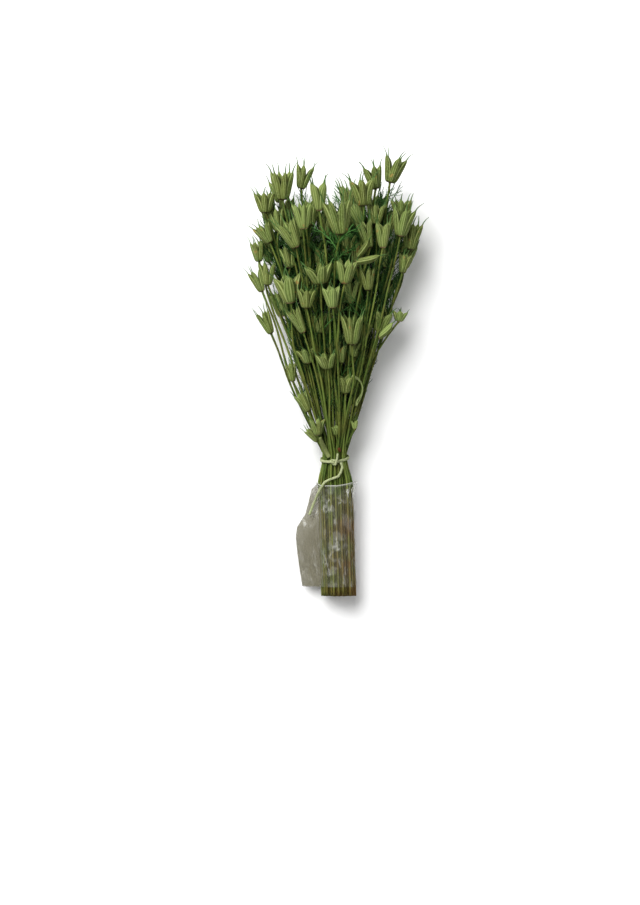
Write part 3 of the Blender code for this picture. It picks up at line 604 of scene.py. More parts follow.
    @staticmethod
    def disc_radii(strand: Strand) -> np.ndarray:
        """Gives the strand's radius at each level, with its pod's, and 0 where it isn't.

        Args:
            strand: the strand.

        Returns:
            The radii.
        """
        radii = np.zeros(len(LEVELS))
        top = strand.top
        radii[strand.first:top + 1] = SIZES.shoot_radius if strand.parent else SIZES.stem_radius
        shares, widths = zip(*POD_DISC)
        upright = strand.height * math.cos(math.atan(math.hypot(*strand.lean)))
        for level in range(top, len(LEVELS)):
            share = (LEVELS[level] - strand.foot[1]) / upright
            if share > POD_DISC[-1][0] + SIZES.level_step / upright:
                break
            wide = np.interp(share, shares, widths) * (strand.crown + SIZES.pod_margin)
            radii[level] = max(radii[level], wide)
        return radii

    def wanted_room(self, radii: np.ndarray, index: dict[str, int]) -> tuple[np.ndarray, np.ndarray]:
        """Gives how far apart each two strands have to be at each level.

        Args:
            radii: the strands' radii, one row each.
            index: the row of each strand, by its name.

        Returns:
            The distances, and where they count.
        """
        present = radii > 0.0
        both = present[:, None, :] & present[None, :, :]
        both[np.arange(len(radii)), np.arange(len(radii)), :] = False
        for number, strand in enumerate(self.strands):
            if strand.parent:
                other = index[strand.parent.name]
                near = slice(strand.first, strand.first + SIZES.fork_levels)
                both[number, other, near] = False
                both[other, number, near] = False
        return (radii[:, None, :] + radii[None, :, :] + SIZES.touch_gap) * both, both

    @staticmethod
    def straighten_pod(
        path: np.ndarray, radii: np.ndarray, span: tuple[int, int], lean: Pair,
        home: np.ndarray, free: bool,
    ) -> None:
        """Puts a pod's levels back on one straight line, near its lean and its place.

        Args:
            path: the strand's path, which is changed.
            radii: the strand's radii.
            span: the first and the last level of the pod.
            lean: the pod's own lean.
            home: where the pod's foot was at first.
            free: True in the last rounds, which don't pull the pod to its place.
        """
        foot, last = span
        rise = LEVELS[foot:last + 1] - LEVELS[foot]
        weight = radii[foot:last + 1]
        centre = (rise * weight).sum() / weight.sum()
        middle = (path[foot:last + 1] * weight[:, None]).sum(axis=0) / weight.sum()
        moment = weight * (rise - centre)
        turned = ((path[foot:last + 1] - middle) * moment[:, None]).sum(axis=0)
        slope = turned / (moment * (rise - centre)).sum()
        slope += (np.array(lean) - slope) * (SIZES.free_lean_pull if free else SIZES.lean_pull)
        if not free:
            middle = middle + (home - (middle - slope * centre)) * HOME_PULL
        path[foot:last + 1] = middle + slope * (rise - centre)[:, None]

    def relax(self) -> None:
        """Moves the strands apart until none touches another, each smooth and with a straight pod."""
        strands = self.strands
        paths = np.array([strand.path for strand in strands])
        home = paths.copy()
        radii = np.array([self.disc_radii(strand) for strand in strands])
        index = {strand.name: number for number, strand in enumerate(strands)}
        room, both = self.wanted_room(radii, index)
        lowest = radii + SIZES.floor_gap - np.array([axis_z(y) for y in LEVELS])
        feet = [strand.top for strand in strands]
        lasts = [int(np.flatnonzero(row)[-1]) for row in radii]
        for step in range(SIZES.relax_rounds):
            free = step > SIZES.relax_rounds - SIZES.free_rounds
            apart = paths[:, None] - paths[None, :]
            distance = np.linalg.norm(apart, axis=3) + 1e-6
            deficit = np.clip(room - distance, 0.0, None) * both
            paths += SIZES.push_share * (apart / distance[..., None] * deficit[..., None]).sum(axis=1)
            paths[..., 1] = np.where(radii > 0.0, np.maximum(paths[..., 1], lowest), paths[..., 1])
            for number, strand in enumerate(strands):
                path, foot = paths[number], feet[number]
                span = (foot, lasts[number])
                self.straighten_pod(path, radii[number], span, strand.lean, home[number, foot], free)
                low = strand.first if strand.parent else NECK_LEVEL
                line = path[low:foot + 1]
                if strand.parent:
                    path[:low + 1] = paths[index[strand.parent.name], :low + 1]
                if len(line) > 2:
                    bend = 0.5 * (line[:-2] + line[2:]) - line[1:-1]
                    line[1:-1] += (SIZES.free_smoothing if free else SIZES.smoothing) * bend
                if not strand.parent:
                    path[:low + 1] = home[number, :low + 1]
        for strand, path, foot in zip(strands, paths, feet):
            strand.path = path
            strand.foot = (path[foot, 0], float(LEVELS[foot]), path[foot, 1] + axis_z(LEVELS[foot]))

    def fit_beaks(self, room: FilledRoom) -> None:
        """Shortens each beak that would reach another stem or pod.

        Args:
            room: what fills the bunch, to which the beaks are added.
        """
        for strand in self.strands:
            for horn in range(strand.horns):
                for share in BEAK_SHARES:
                    root, tip = strand.beak(horn, share)
                    line = [root.lerp(tip, t) for t in np.linspace(0.0, 1.0, 9)]
                    if share == BEAK_SHARES[-1] or room.clear(line, SIZES.beak_air, strand.owner()):
                        strand.beaks[horn] = share
                        room.add(root, tip, SIZES.beak_radius, strand.owner())
                        break

    def add_inner_shoots(self, room: FilledRoom) -> None:
        """Fills clear places inside the head with smaller pods on side shoots of the stems.

        Args:
            room: what already fills the bunch.
        """
        rule = self.inner
        rng = np.random.default_rng(SEED + 1)
        found = 0
        for _ in range(rule.tries):
            if found == rule.count:
                break
            y = rule.lowest_y + (rule.highest_y - rule.lowest_y) * rng.random() ** rule.crowding
            wide, deep = head_size(y)
            x, up = rng.uniform(*rule.across) * wide, rng.uniform(*rule.sunk) * deep
            if math.hypot(x / wide, up / deep) > rule.reach:
                continue
            crown, height = rng.uniform(*rule.crown), rng.uniform(*rule.height)
            lean = tuple(rule.lean_share * part / (y + rule.lean_from) for part in (x, up))
            foot_level = level_of(y)
            foot_y = float(LEVELS[foot_level])
            place = (x, foot_y, up + axis_z(foot_y))
            shoot = Strand(place, crown, height, lean, int(rng.integers(4, 6)), side=True)
            shoot.turn = rng.uniform(0.0, TURN)
            shoot.beaks = [rule.beak] * shoot.horns
            foot = np.array([x, up])
            for level in range(foot_level, len(LEVELS)):
                shoot.path[level] = foot + np.array(lean) * (LEVELS[level] - foot_y)
            start, axis, _, _ = shoot.pod_frame()
            body = [start + axis * (height * share) for share in rule.probes]
            if not room.clear(body, rule.girth * crown, ""):
                continue
            if self.join_inner(shoot, foot, foot_level, room):
                found += 1
                shoot.name = f"inner_shoot_{found:02d}"
                room.pods.append((shoot.owner(), shoot, shoot.pod_frame()))
                room.add_stem(shoot, SIZES.shoot_radius)
                self.strands.append(shoot)
        LOG.info("inner shoots: %d", found)

    def join_inner(self, shoot: Strand, foot: np.ndarray, foot_level: int, room: FilledRoom) -> bool:
        """Joins an inner shoot to a stem near it by a clear way.

        Args:
            shoot: the shoot.
            foot: its pod's foot, from the bunch's middle line.
            foot_level: the level of the foot.
            room: what already fills the bunch.

        Returns:
            True where a way was found.
        """
        def gap(stem: Strand) -> float:
            """Gives how far a stem passes from the foot."""
            return float(np.hypot(*(stem.path[min(foot_level, stem.top)] - foot)))

        rule = self.inner
        for steps in rule.fork_steps:
            fork = foot_level - steps
            if fork <= NECK_LEVEL:
                continue
            near = sorted((stem for stem in self.stems if stem.top > fork + 2), key=gap)
            for stem in near[:rule.near_stems]:
                shoot.path[:fork + 1] = stem.path[:fork + 1]
                for level in range(fork + 1, foot_level):
                    share = (level - fork) / (foot_level - fork)
                    share = share * (rule.sweep[0] + rule.sweep[1] * share)
                    along = stem.path[min(level, stem.top)]
                    shoot.path[level] = along + (foot - along) * share
                shoot.parent, shoot.first = stem, fork
                way = shoot.line()[rule.rooted_points:]
                if room.clear(way, SIZES.shoot_radius - rule.slack, stem.name):
                    return True
        return False


class Place:
    """Where the layout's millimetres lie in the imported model's metres."""

    def __init__(self) -> None:
        """Reads the shift between the two from the corners of the sleeve's solid."""
        low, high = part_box("sleeve")
        right = axis_x(SIZES.sleeve_end_y) + SIZES.sleeve_radius
        self.shift = Vector((high[0] / MM - right, low[1] / MM - SIZES.sleeve_end_y, low[2] / MM))
        self.neck_y = float(self.shift.y * MM)

    def metres(self, points: np.ndarray | list) -> np.ndarray:
        """Turns places of the layout into the model's metres."""
        return (rows_of(points) + np.array(self.shift)) * MM


PLACE = Place()


@dataclass(frozen=True)
class MasterShape:
    """A shape that was modelled once: its corners, its faces and the marks on its corners."""

    places: np.ndarray
    faces: tuple[tuple[int, ...], ...]
    marks: dict[str, np.ndarray]


MARKS = ("rib", "along", "inside", "tint")


class Finish(Enum):
    """The finishes of one dressed stem, in the order of its material slots."""

    POD = 0
    STEM = 1
    LEAF = 2


class Graft:
    """Gathers copies of modelled shapes and makes one mesh of them."""

    def __init__(self) -> None:
        """Starts with nothing gathered."""
        self.places: list[np.ndarray] = []
        self.faces: list[tuple[int, ...]] = []
        self.finishes: list[int] = []
        self.marks: dict[str, list[np.ndarray]] = {name: [] for name in MARKS}
        self.count = 0

    def add(self, places: np.ndarray, shape: MasterShape, finish: Finish, tint: float) -> None:
        """Adds one copy of a shape.

        Args:
            places: the copy's corners, in the layout's millimetres.
            shape: the shape that was copied.
            finish: the finish of its faces.
            tint: how pale the copy is, from 0 to 1.
        """
        self.places.append(places)
        self.faces += [tuple(corner + self.count for corner in face) for face in shape.faces]
        self.finishes += [finish.value] * len(shape.faces)
        for name in MARKS[:-1]:
            self.marks[name].append(shape.marks.get(name, np.zeros(len(places))))
        self.marks["tint"].append(np.full(len(places), tint))
        self.count += len(places)

    def make(self, name: str, materials: list[Material]) -> Object:
        """Makes the object.

        Args:
            name: the object's name.
            materials: its materials, in the order of the finishes.

        Returns:
            The object, smooth shaded, in metres.
        """
        marks = {mark: np.concatenate(values) for mark, values in self.marks.items()}
        places = np.concatenate(self.places)
        return Workbench.mesh_piece(name, places, self.faces, marks, materials, self.finishes)


class Workbench:
    """Steps of modelling that several shapes share."""

    @staticmethod
    def link(name: str, data: object) -> Object:
        """Makes an object of a mesh, a curve, a lamp or a camera and puts it into the scene."""
        piece = bpy.data.objects.new(name, data)
        bpy.context.scene.collection.objects.link(piece)
        return piece

    @staticmethod
    def pick(active: Object, *others: Object) -> None:
        """Selects some pieces alone and makes the first of them active."""
        bpy.ops.object.select_all(action="DESELECT")
        for piece in (active, *others):
            piece.select_set(True)
        bpy.context.view_layer.objects.active = active

    @staticmethod
    def open() -> None:
        """Opens the active piece in edit mode with all of it selected."""
        bpy.ops.object.mode_set(mode="EDIT")
        bpy.ops.mesh.select_all(action="SELECT")

    @classmethod
    def mesh_piece(
        cls, name: str, places: np.ndarray | list, faces: list[tuple[int, ...]],
        marks: dict[str, np.ndarray | list], materials: list[Material], finishes: list[int] | None = None,
    ) -> Object:
        """Makes a smooth shaded piece.

        Args:
            name: its name.
            places: its corners, in the layout's millimetres.
            faces: its faces, by the numbers of their corners.
            marks: the marks on its corners, by their names.
            materials: its materials.
            finishes: the number of the material of each face, or None.

        Returns:
            The piece, in metres.
        """
        mesh = bpy.data.meshes.new(name)
        mesh.from_pydata(PLACE.metres(places).tolist(), [], faces)
        for mark, values in marks.items():
            layer = mesh.attributes.new(mark, "FLOAT", "POINT")
            layer.data.foreach_set("value", np.array(values, dtype=np.float32))
        for material in materials:
            mesh.materials.append(material)
        if finishes:
            mesh.polygons.foreach_set("material_index", finishes)
        mesh.polygons.foreach_set("use_smooth", [True] * len(faces))
        mesh.update()
        return cls.link(name, mesh)

    @staticmethod
    def disc(sides: int, radius: float) -> Object:
        """Adds a flat disc at the origin, alone selected.

        Args:
            sides: its number of corners.
            radius: its radius.

        Returns:
            The disc, in object mode.
        """
        bpy.ops.object.select_all(action="DESELECT")
        bpy.ops.mesh.primitive_circle_add(vertices=sides, radius=radius, fill_type="NGON")
        return bpy.context.object

    @staticmethod
    def extrude(move: Vector, scale: Triple, centre: Vector) -> None:
        """Extrudes the selected face, moves its new ring and scales it.

        Args:
            move: how far the new ring goes.
            scale: how much larger it gets along each axis.
            centre: the middle of the new ring.
        """
        bpy.ops.mesh.extrude_region_move(TRANSFORM_OT_translate={"value": tuple(move)})
        bpy.ops.transform.resize(value=scale, center_override=tuple(centre))

    @staticmethod
    def take(piece: Object) -> MasterShape:
        """Closes the modelling of a shape, notes it and clears it away.

        Args:
            piece: the piece that is open in edit mode.

        Returns:
            Its shape.
        """
        bpy.ops.mesh.select_all(action="SELECT")
        bpy.ops.mesh.normals_make_consistent(inside=False)
        bpy.ops.object.mode_set(mode="OBJECT")
        mesh = piece.data
        places = np.array([tuple(vertex.co) for vertex in mesh.vertices])
        faces = tuple(tuple(polygon.vertices) for polygon in mesh.polygons)
        marks = {}
        for name in MARKS[:-1]:
            layer = mesh.attributes.get(name)
            if layer is not None:
                marks[name] = np.array([item.value for item in layer.data])
        bpy.data.objects.remove(piece)
        return MasterShape(places, faces, marks)


class FollicleForm(Enum):
    """How a follicle looks: shut, split open along its inner edge, or a short broad one, split wide."""

    SHUT = "shut"
    SPLIT = "split"
    BROAD = "broad"


@dataclass(frozen=True)
class FollicleStage:
    """One ring of a follicle: its height and inner and outer reach as shares, and half its width."""

    height: float
    inner: float
    outer: float
    width: float


@dataclass
class Follicle:
    """One boat-shaped part of a pod with its curved beak, modelled for a crown and a height of 1."""

    form: FollicleForm
    start: FollicleStage = FollicleStage(0.0, -0.14, 0.14, 0.12)
    stages: tuple[FollicleStage, ...] = tuple(FollicleStage(*stage) for stage in (
        (-0.015, -0.06, 0.33, 0.15), (0.02, 0.00, 0.47, 0.21), (0.10, 0.01, 0.59, 0.255),
        (0.25, 0.03, 0.70, 0.295), (0.42, 0.08, 0.80, 0.325), (0.56, 0.15, 0.88, 0.335),
        (0.68, 0.24, 0.95, 0.325), (0.78, 0.34, 1.00, 0.30), (0.87, 0.47, 1.04, 0.275),
        (0.94, 0.61, 1.07, 0.225), (1.00, 0.80, 1.07, 0.145),
    ))
    beak: tuple[FollicleStage, ...] = tuple(FollicleStage(*stage) for stage in (
        (1.06, 0.925, 1.060, 0.066), (1.17, 0.995, 1.095, 0.050), (1.30, 1.085, 1.162, 0.039),
        (1.42, 1.205, 1.255, 0.022),
    ))
    keel: tuple[Pair, ...] = (
        (1.06, 0.0), (0.90, 0.26), (0.86, 0.56), (0.52, 0.84), (0.22, 1.10), (-0.14, 0.80),
    )
    # How strongly each corner is a rib: 1 for a pale nerve, which the pod finish brightens partly as painted
    # highlight, 0 for a groove, which it darkens as painted shade.
    ribs: tuple[float, ...] = (1.0, 0.0, 0.75, 0.0, 1.0, 0.0)
    shut_seam: Pair = (-0.62, 0.46)
    split_seam: Pair = (-0.90, 0.80)
    broad_seam: Pair = (-0.90, 1.05)
    broadening: float = 0.25
    sides: int = 14

    def section(self) -> tuple[list[Pair], list[float], list[float]]:
        """Gives the section's corners, and how strongly each is a rib and is inside.

        Returns:
            The corners from the keel round, and the two marks of each.
        """
        if self.form is FollicleForm.SHUT:
            seam, seam_rib = self.shut_seam, 0.0
            last, last_rib, last_inside = (-1.0, 0.0), 0.6, 0.0
        else:
            seam = self.split_seam if self.form is FollicleForm.SPLIT else self.broad_seam
            seam_rib = 1.0
            last, last_rib, last_inside = (0.50, 0.0), 0.0, 1.0
        half, rib = [*self.keel, seam], [*self.ribs, seam_rib]
        inside = [0.0] * len(half)
        corners = half + [last] + [(x, -y) for x, y in reversed(half[1:])]
        return corners, rib + [last_rib] + rib[:0:-1], inside + [last_inside] + inside[:0:-1]

    def model(self) -> MasterShape:
        """Models the follicle: a disc shaped to its section, then extruded ring by ring.

        Returns:
            Its shape.
        """
        disc = Workbench.disc(self.sides, 1.0)
        corners, ribs, insides = self.section()
        mesh = disc.data
        order = sorted(
            range(self.sides),
            key=lambda n: math.atan2(mesh.vertices[n].co.y, mesh.vertices[n].co.x) % (TURN - 1e-4),
        )
        rib = mesh.attributes.new("rib", "FLOAT", "POINT")
        inside = mesh.attributes.new("inside", "FLOAT", "POINT")
        before = self.start
        for place, number in enumerate(order):
            x, y = corners[place]
            centre = (before.inner + before.outer) / 2.0
            reach = (before.outer - before.inner) / 2.0
            mesh.vertices[number].co = (centre + x * reach, y * before.width, before.height)
            rib.data[number].value = ribs[place]
            inside.data[number].value = insides[place]
        Workbench.open()
        for stage in self.stages + self.beak:
            centre = Vector(((stage.inner + stage.outer) / 2.0, 0.0, stage.height))
            old = Vector(((before.inner + before.outer) / 2.0, 0.0, before.height))
            deeper = (stage.outer - stage.inner) / (before.outer - before.inner)
            Workbench.extrude(centre - old, (deeper, stage.width / before.width, 1.0), centre)
            before = stage
        shape = Workbench.take(disc)
        shape.marks["along"] = shape.places[:, 2].copy()
        if self.form is FollicleForm.BROAD:
            spread = np.clip(shape.places[:, 2], 0.0, 1.0)
            shape.places[:, 1] *= 1.0 + self.broadening * spread * (1.1 - spread)
        return shape


@dataclass
class ThreadLeaf:
    """A leaf of fine threads: one main thread that bends, with side threads."""

    length: float
    bend: float
    side_threads: int
    radius: float = 0.60
    taper: float = 0.88
    steps: int = 6
    side_steps: int = 3
    side_lean: Pair = (0.62, 0.12)
    side_length: Pair = (0.40, 0.035)
    side_radius: float = 0.72
    side_taper: float = 0.80
    side_depth: float = 0.42
    side_curl: float = 0.20

    def model(self) -> MasterShape:
        """Models the leaf: a small disc is extruded along each thread, thinner at each step.

        Returns:
            Its shape.
        """
        piece = Workbench.disc(3, self.radius)
        Workbench.open()
        middle, heading = Vector((0.0, 0.0, 0.0)), 0.0
        knots = []
        for _ in range(self.steps):
            heading += self.bend / self.steps
            move = Vector((math.sin(heading), 0.0, math.cos(heading))) * (self.length / self.steps)
            middle = middle + move
            Workbench.extrude(move, (self.taper,) * 3, middle)
            knots.append((middle.copy(), heading))
        for number in range(self.side_threads):
            knot, heading = knots[number % (self.steps - 1)]
            self.side_thread(number, knot, heading)
        shape = Workbench.take(piece)
        shape.marks["along"] = np.linalg.norm(shape.places, axis=1) / self.length
        return shape

    def side_thread(self, number: int, knot: Vector, heading: float) -> None:
        """Adds one side thread.

        Args:
            number: the number of the thread, which sets its side.
            knot: where it leaves the main thread.
            heading: how far the main thread has turned there.
        """
        side = 1.0 if number % 2 else -1.0
        swing = GOLDEN_ANGLE * (number + 1)
        lean = heading + side * (self.side_lean[0] + self.side_lean[1] * math.sin(3.1 * number))
        length = self.length * (self.side_length[0] - self.side_length[1] * number)
        bpy.ops.mesh.select_all(action="DESELECT")
        bpy.ops.mesh.primitive_circle_add(
            vertices=3, radius=self.radius * self.side_radius, fill_type="NGON", location=tuple(knot)
        )
        middle = knot.copy()
        for _ in range(self.side_steps):
            out = Vector((math.sin(lean), self.side_depth * math.sin(swing), math.cos(lean))).normalized()
            move = out * (length / self.side_steps)
            middle = middle + move
            Workbench.extrude(move, (self.side_taper,) * 3, middle)
            lean -= side * self.side_curl


@dataclass(frozen=True)
class StemShape:
    """How a stem is drawn: its radii and bends in millimetres, and how they change along it."""

    low_radius: float = 1.3
    sleeve_spread: float = 0.13
    top_radius: float = 1.0
    foot_radius: float = 1.55
    shoot_radius: float = 0.9
    crook: float = 0.45
    hollow: float = 0.38
    hollow_depth: float = 2.2
    knobs: Pair = (0.07, 1.9)
    foot_swell: Pair = (0.75, 0.025)
    straight_below: float = 20.0
    crook_over: float = 60.0
    calm_points: float = 3.0
    winding: Triple = (3.0, 0.085, 1.31)
    spread_over: float = 25.0
    foot_start: float = 0.72


class StemMaker:
    """Draws stems as curves with a round bevel and turns them into meshes."""

    def __init__(self, shape: StemShape) -> None:
        """Keeps the shape that every stem follows."""
        self.shape = shape

    def radii(self, strand: Strand, line: list[Vector]) -> np.ndarray:
        """Gives the stem's radius at each of its points.

        Args:
            strand: the strand that the stem belongs to.
            line: its points.

        Returns:
            The radii.
        """
        shape = self.shape
        low = shape.shoot_radius if strand.parent else shape.low_radius
        radii = np.linspace(low, min(low, shape.top_radius), len(line))
        radii *= 1.0 + shape.knobs[0] * np.sin(np.arange(len(line)) * shape.knobs[1] + strand.turn)
        radii[-1] = shape.foot_radius * (shape.foot_swell[0] + shape.foot_swell[1] * strand.crown)
        return radii

    def crooked(self, strand: Strand) -> list[Vector]:
        """Gives the stem's line with the small bends of a dried stem.

        Args:
            strand: the strand that the stem belongs to.

        Returns:
            Its points, with one more just below the pod.
        """
        shape = self.shape
        line = strand.line()
        points = []
        for number, point in enumerate(line):
            above = limited((point.y - shape.straight_below) / shape.crook_over)
            end = min((len(line) - 1 - number) / shape.calm_points, 1.0)
            swing = strand.turn * shape.winding[0] + point.y * shape.winding[1]
            offset = Vector((math.sin(swing), 0.0, math.cos(shape.winding[2] * swing)))
            wider = shape.sleeve_spread * limited(-point.y / shape.spread_over)
            middle = Vector((axis_x(point.y), point.y, axis_z(point.y)))
            points.append(point + offset * (shape.crook * above * end) + (point - middle) * wider)
        points.insert(-1, points[-2].lerp(points[-1], shape.foot_start))
        return points

    def draw(self, strand: Strand) -> Object:
        """Draws one stem as a curve object in the layout's millimetres.

        Args:
            strand: the strand.

        Returns:
            The curve.
        """
        points = self.crooked(strand)
        radii = list(self.radii(strand, points[:-1]))
        radii.insert(-1, radii[-2])
        curve = bpy.data.curves.new(strand.name + "_line", "CURVE")
        curve.dimensions = "3D"
        curve.bevel_depth = 1.0
        curve.bevel_resolution = 2
        curve.use_fill_caps = True
        spline = curve.splines.new("POLY")
        spline.points.add(len(points) - 1)
        for knot, place, radius in zip(spline.points, points, radii):
            knot.co = (place.x, place.y, place.z, 1.0)
            knot.radius = radius
        return Workbench.link(strand.name + "_line", curve)

    def model(self, strands: list[Strand]) -> dict[str, MasterShape]:
        """Models every stem.

        Args:
            strands: the strands whose stems are wanted.

        Returns:
            The stems' shapes by the names of their strands.
        """
        lines = {strand.name: self.draw(strand) for strand in strands}
        Workbench.pick(*lines.values())
        bpy.ops.object.convert(target="MESH")
        shapes = {}
        for name, line in lines.items():
            Workbench.pick(line)
            self.hollow_end(line)
            shapes[name] = Workbench.take(line)
        return shapes

    def hollow_end(self, piece: Object) -> None:
        """Welds the caps of a stem and sinks a hollow into its cut end, if it has one.

        Args:
            piece: the stem, which is left in edit mode.
        """
        bpy.ops.object.mode_set(mode="EDIT")
        bpy.ops.mesh.select_mode(type="FACE")
        bpy.ops.mesh.select_all(action="SELECT")
        bpy.ops.mesh.remove_doubles(threshold=1e-4)
        bpy.ops.mesh.select_all(action="DESELECT")
        bpy.ops.object.mode_set(mode="OBJECT")
        ends = [
            face for face in piece.data.polygons
            if face.center.y < SIZES.cut_end_y + 1.0 and len(face.vertices) > 4
        ]
        for face in ends:
            face.select = True
        bpy.ops.object.mode_set(mode="EDIT")
        if ends:
            bpy.ops.mesh.inset(thickness=self.shape.hollow)
            bpy.ops.mesh.extrude_region_move(
                TRANSFORM_OT_translate={"value": (0.0, self.shape.hollow_depth, 0.0)}
            )


@dataclass(frozen=True)
class LeafRule:
    """How many thread leaves a stem carries, where, how far they lean out, and the edges of the tufts."""

    count: int = 48
    lowest_y: float = 22.0
    below_pod: float = 5.0
    lean: Pair = (0.10, 0.70)
    size: Pair = (0.50, 1.15)
    floor: float = 0.6
    beyond: float = -1.0
    edge: float = 0.90
    tuft_edge: float = 1.3
    past_foot: float = 8.0
    sunk: float = 0.10
    showing: float = 0.12
    tufts: tuple[tuple[float, float, float, float], ...] = (
        (-14.0, 19.0, 232.0, 264.0), (-8.0, 22.0, 190.0, 214.0), (0.0, 22.0, 172.0, 190.0),
    )
    tuft_count: int = 9
    upward: float = 0.55
    tries: int = 6
    above_root: float = 6.0
    growth: Pair = (0.85, 0.0018)
    fresh_tint: Pair = (0.8, 0.2)
    palest: float = 0.9
    shoot_share: float = 0.15
    crowd_from: float = 20.0
    crowd_over: float = 170.0
    crowd: Pair = (0.15, 1.5)


@dataclass(frozen=True)
class PodBend:
    """How chance bends and tints each follicle of a pod, for a crown and a height of 1."""

    split_share: float = 0.45
    broadest: float = 1.25
    bend_from: float = 0.25
    lean: float = 0.10
    lean_out: float = 0.02
    root: Pair = (0.97, 0.06)
    hook_mean: float = 0.5
    hook: float = 1.6
    curl: float = 2.2
    tint_change: float = 0.16


class PodStems:
    """The dressed stems, each with its pods, its side shoots and its thread leaves."""

    def __init__(self, plan: BunchPlan, materials: list[Material]) -> None:
        """Models what the stems share.

        Args:
            plan: the layout of the bunch.
            materials: the materials of a pod, a stem and a leaf.
        """
        self.plan = plan
        self.materials = materials
        self.leaf_rule = LeafRule()
        self.bend = PodBend()
        self.rng = np.random.default_rng(SEED)
        self.follicles = {form: Follicle(form).model() for form in FollicleForm}
        self.leaves = [
            ThreadLeaf(34.0, 0.55, 5).model(),
            ThreadLeaf(28.0, -0.70, 4).model(),
            ThreadLeaf(40.0, 0.25, 5).model(),
        ]
        self.tuft_leaf = ThreadLeaf(27.0, 0.9, 7, radius=1.0, taper=0.85).model()
        self.stems = StemMaker(StemShape()).model(plan.strands)
        self.highest_y = CAD_BOX[1][1] / MM - PLACE.shift.y
        self.front: list[np.ndarray] = []

    def form_of(self, strand: Strand) -> FollicleForm:
        """Chooses how a pod's follicles look."""
        if strand.horns <= 4:
            return FollicleForm.BROAD
        return FollicleForm.SPLIT if self.rng.random() < self.bend.split_share else FollicleForm.SHUT

    def grow_pod(self, graft: Graft, strand: Strand) -> None:
        """Adds the pod of a strand, follicle by follicle.

        Args:
            graft: what the pod is added to.
            strand: the strand that carries it.
        """
        bend = self.bend
        foot, axis, _, _ = strand.pod_frame()
        shape = self.follicles[self.form_of(strand)]
        chance = float(self.rng.random())
        tint = chance if strand.tint is None else strand.tint
        broader = min(math.tan(math.pi / strand.horns) / math.tan(math.pi / 5.0), bend.broadest)
        for horn in range(strand.horns):
            outward = strand.outward(horn)
            local = shape.places.copy()
            top = np.clip(local[:, 2] - bend.bend_from, 0.0, None)
            spread, swing, curl, hook = self.rng.uniform(-1.0, 1.0, 4)
            local[:, 0] += (bend.lean * spread + bend.lean_out) * top**2
            local[:, 1] += bend.lean * swing * top**2
            beyond = np.clip(local[:, 2] - 1.0, 0.0, None)
            share = strand.beaks[horn]
            root = np.array([bend.root[0] + bend.root[1] * spread, bend.root[1] * swing, 1.0])
            bent = local[:, 2] > 1.0
            local[bent] = root + (local[bent] - root) * share
            local[:, 0] += (bend.hook_mean + hook) * bend.hook * (beyond * share) ** 2
            local[:, 1] += curl * bend.curl * (beyond * share) ** 2
            local *= np.array([strand.crown, strand.crown * broader, strand.height])
            places = np.array(foot) + local @ rows_of((outward, axis.cross(outward), axis))
            places[:, 2] = np.maximum(places[:, 2], self.leaf_rule.floor)
            self.front.append(places)
            graft.add(places, shape, Finish.POD, limited(tint + bend.tint_change * swing))

    def grow_leaf(self, graft: Graft, strand: Strand, line: list[Vector], tuft: tuple | None = None) -> None:
        """Adds one thread leaf to a stem, if a clear place is found for it.

        Args:
            graft: what the leaf is added to.
            strand: the strand that carries it.
            line: the points of that strand's stem.
            tuft: where the tuft of bright leaves is that it belongs to, if it does.
        """
        rule = self.leaf_rule
        fresh = tuft is not None
        shape = self.tuft_leaf if fresh else self.leaves[int(self.rng.integers(len(self.leaves)))]
        top = strand.foot[1] - rule.below_pod
        if fresh:
            top = min(top, tuft[3])
        shown = self.rng.random() < rule.showing
        for _ in range(rule.tries):
            low = tuft[2] if fresh else max(rule.lowest_y, line[0].y + rule.above_root)
            if top < low:
                return
            y = low + (top - low) * self.rng.random() ** rule.upward
            step = int(np.clip((y - line[0].y) / SIZES.level_step, 0, len(line) - 2))
            root = line[step].lerp(line[step + 1], 0.5)
            axis = (line[step + 1] - line[step]).normalized()
            outward = swung(*across(axis), self.rng.uniform(0.0, TURN))
            heading = swung(axis, outward, self.rng.uniform(*rule.lean)).normalized()
            sideways = heading.cross(outward).normalized()
            basis = rows_of((sideways.cross(heading), sideways, heading))
            size = self.rng.uniform(*rule.size) * (rule.growth[0] + rule.growth[1] * max(y, 0.0))
            places = np.array(root) + (shape.places * size) @ basis
            wide = np.interp(places[:, 1], HEAD_Y, HEAD_HALF_WIDTH) + rule.beyond
            deep = np.interp(places[:, 1], HEAD_Y, HEAD_HALF_DEPTH) + rule.beyond
            rise = (places[:, 2] - axis_z(places[:, 1])) / deep
            out = (places[:, 0] / wide) ** 2 + rise**2
            tip_y = places[:, 1].max()
            inside = out.max() < (rule.tuft_edge if fresh else rule.edge) and tip_y < self.highest_y
            if not fresh and tip_y > strand.foot[1] + rule.past_foot:
                continue
            if fresh and not tuft[0] < root.x < tuft[1]:
                continue
            if not (shown or fresh) and rise.max() > rule.sunk:
                continue
            if inside and places[:, 2].min() > rule.floor:
                chance = self.rng.random()
                tint = rule.fresh_tint[0] + rule.fresh_tint[1] * chance if fresh else rule.palest * chance
                graft.add(places, shape, Finish.LEAF, tint)
                return

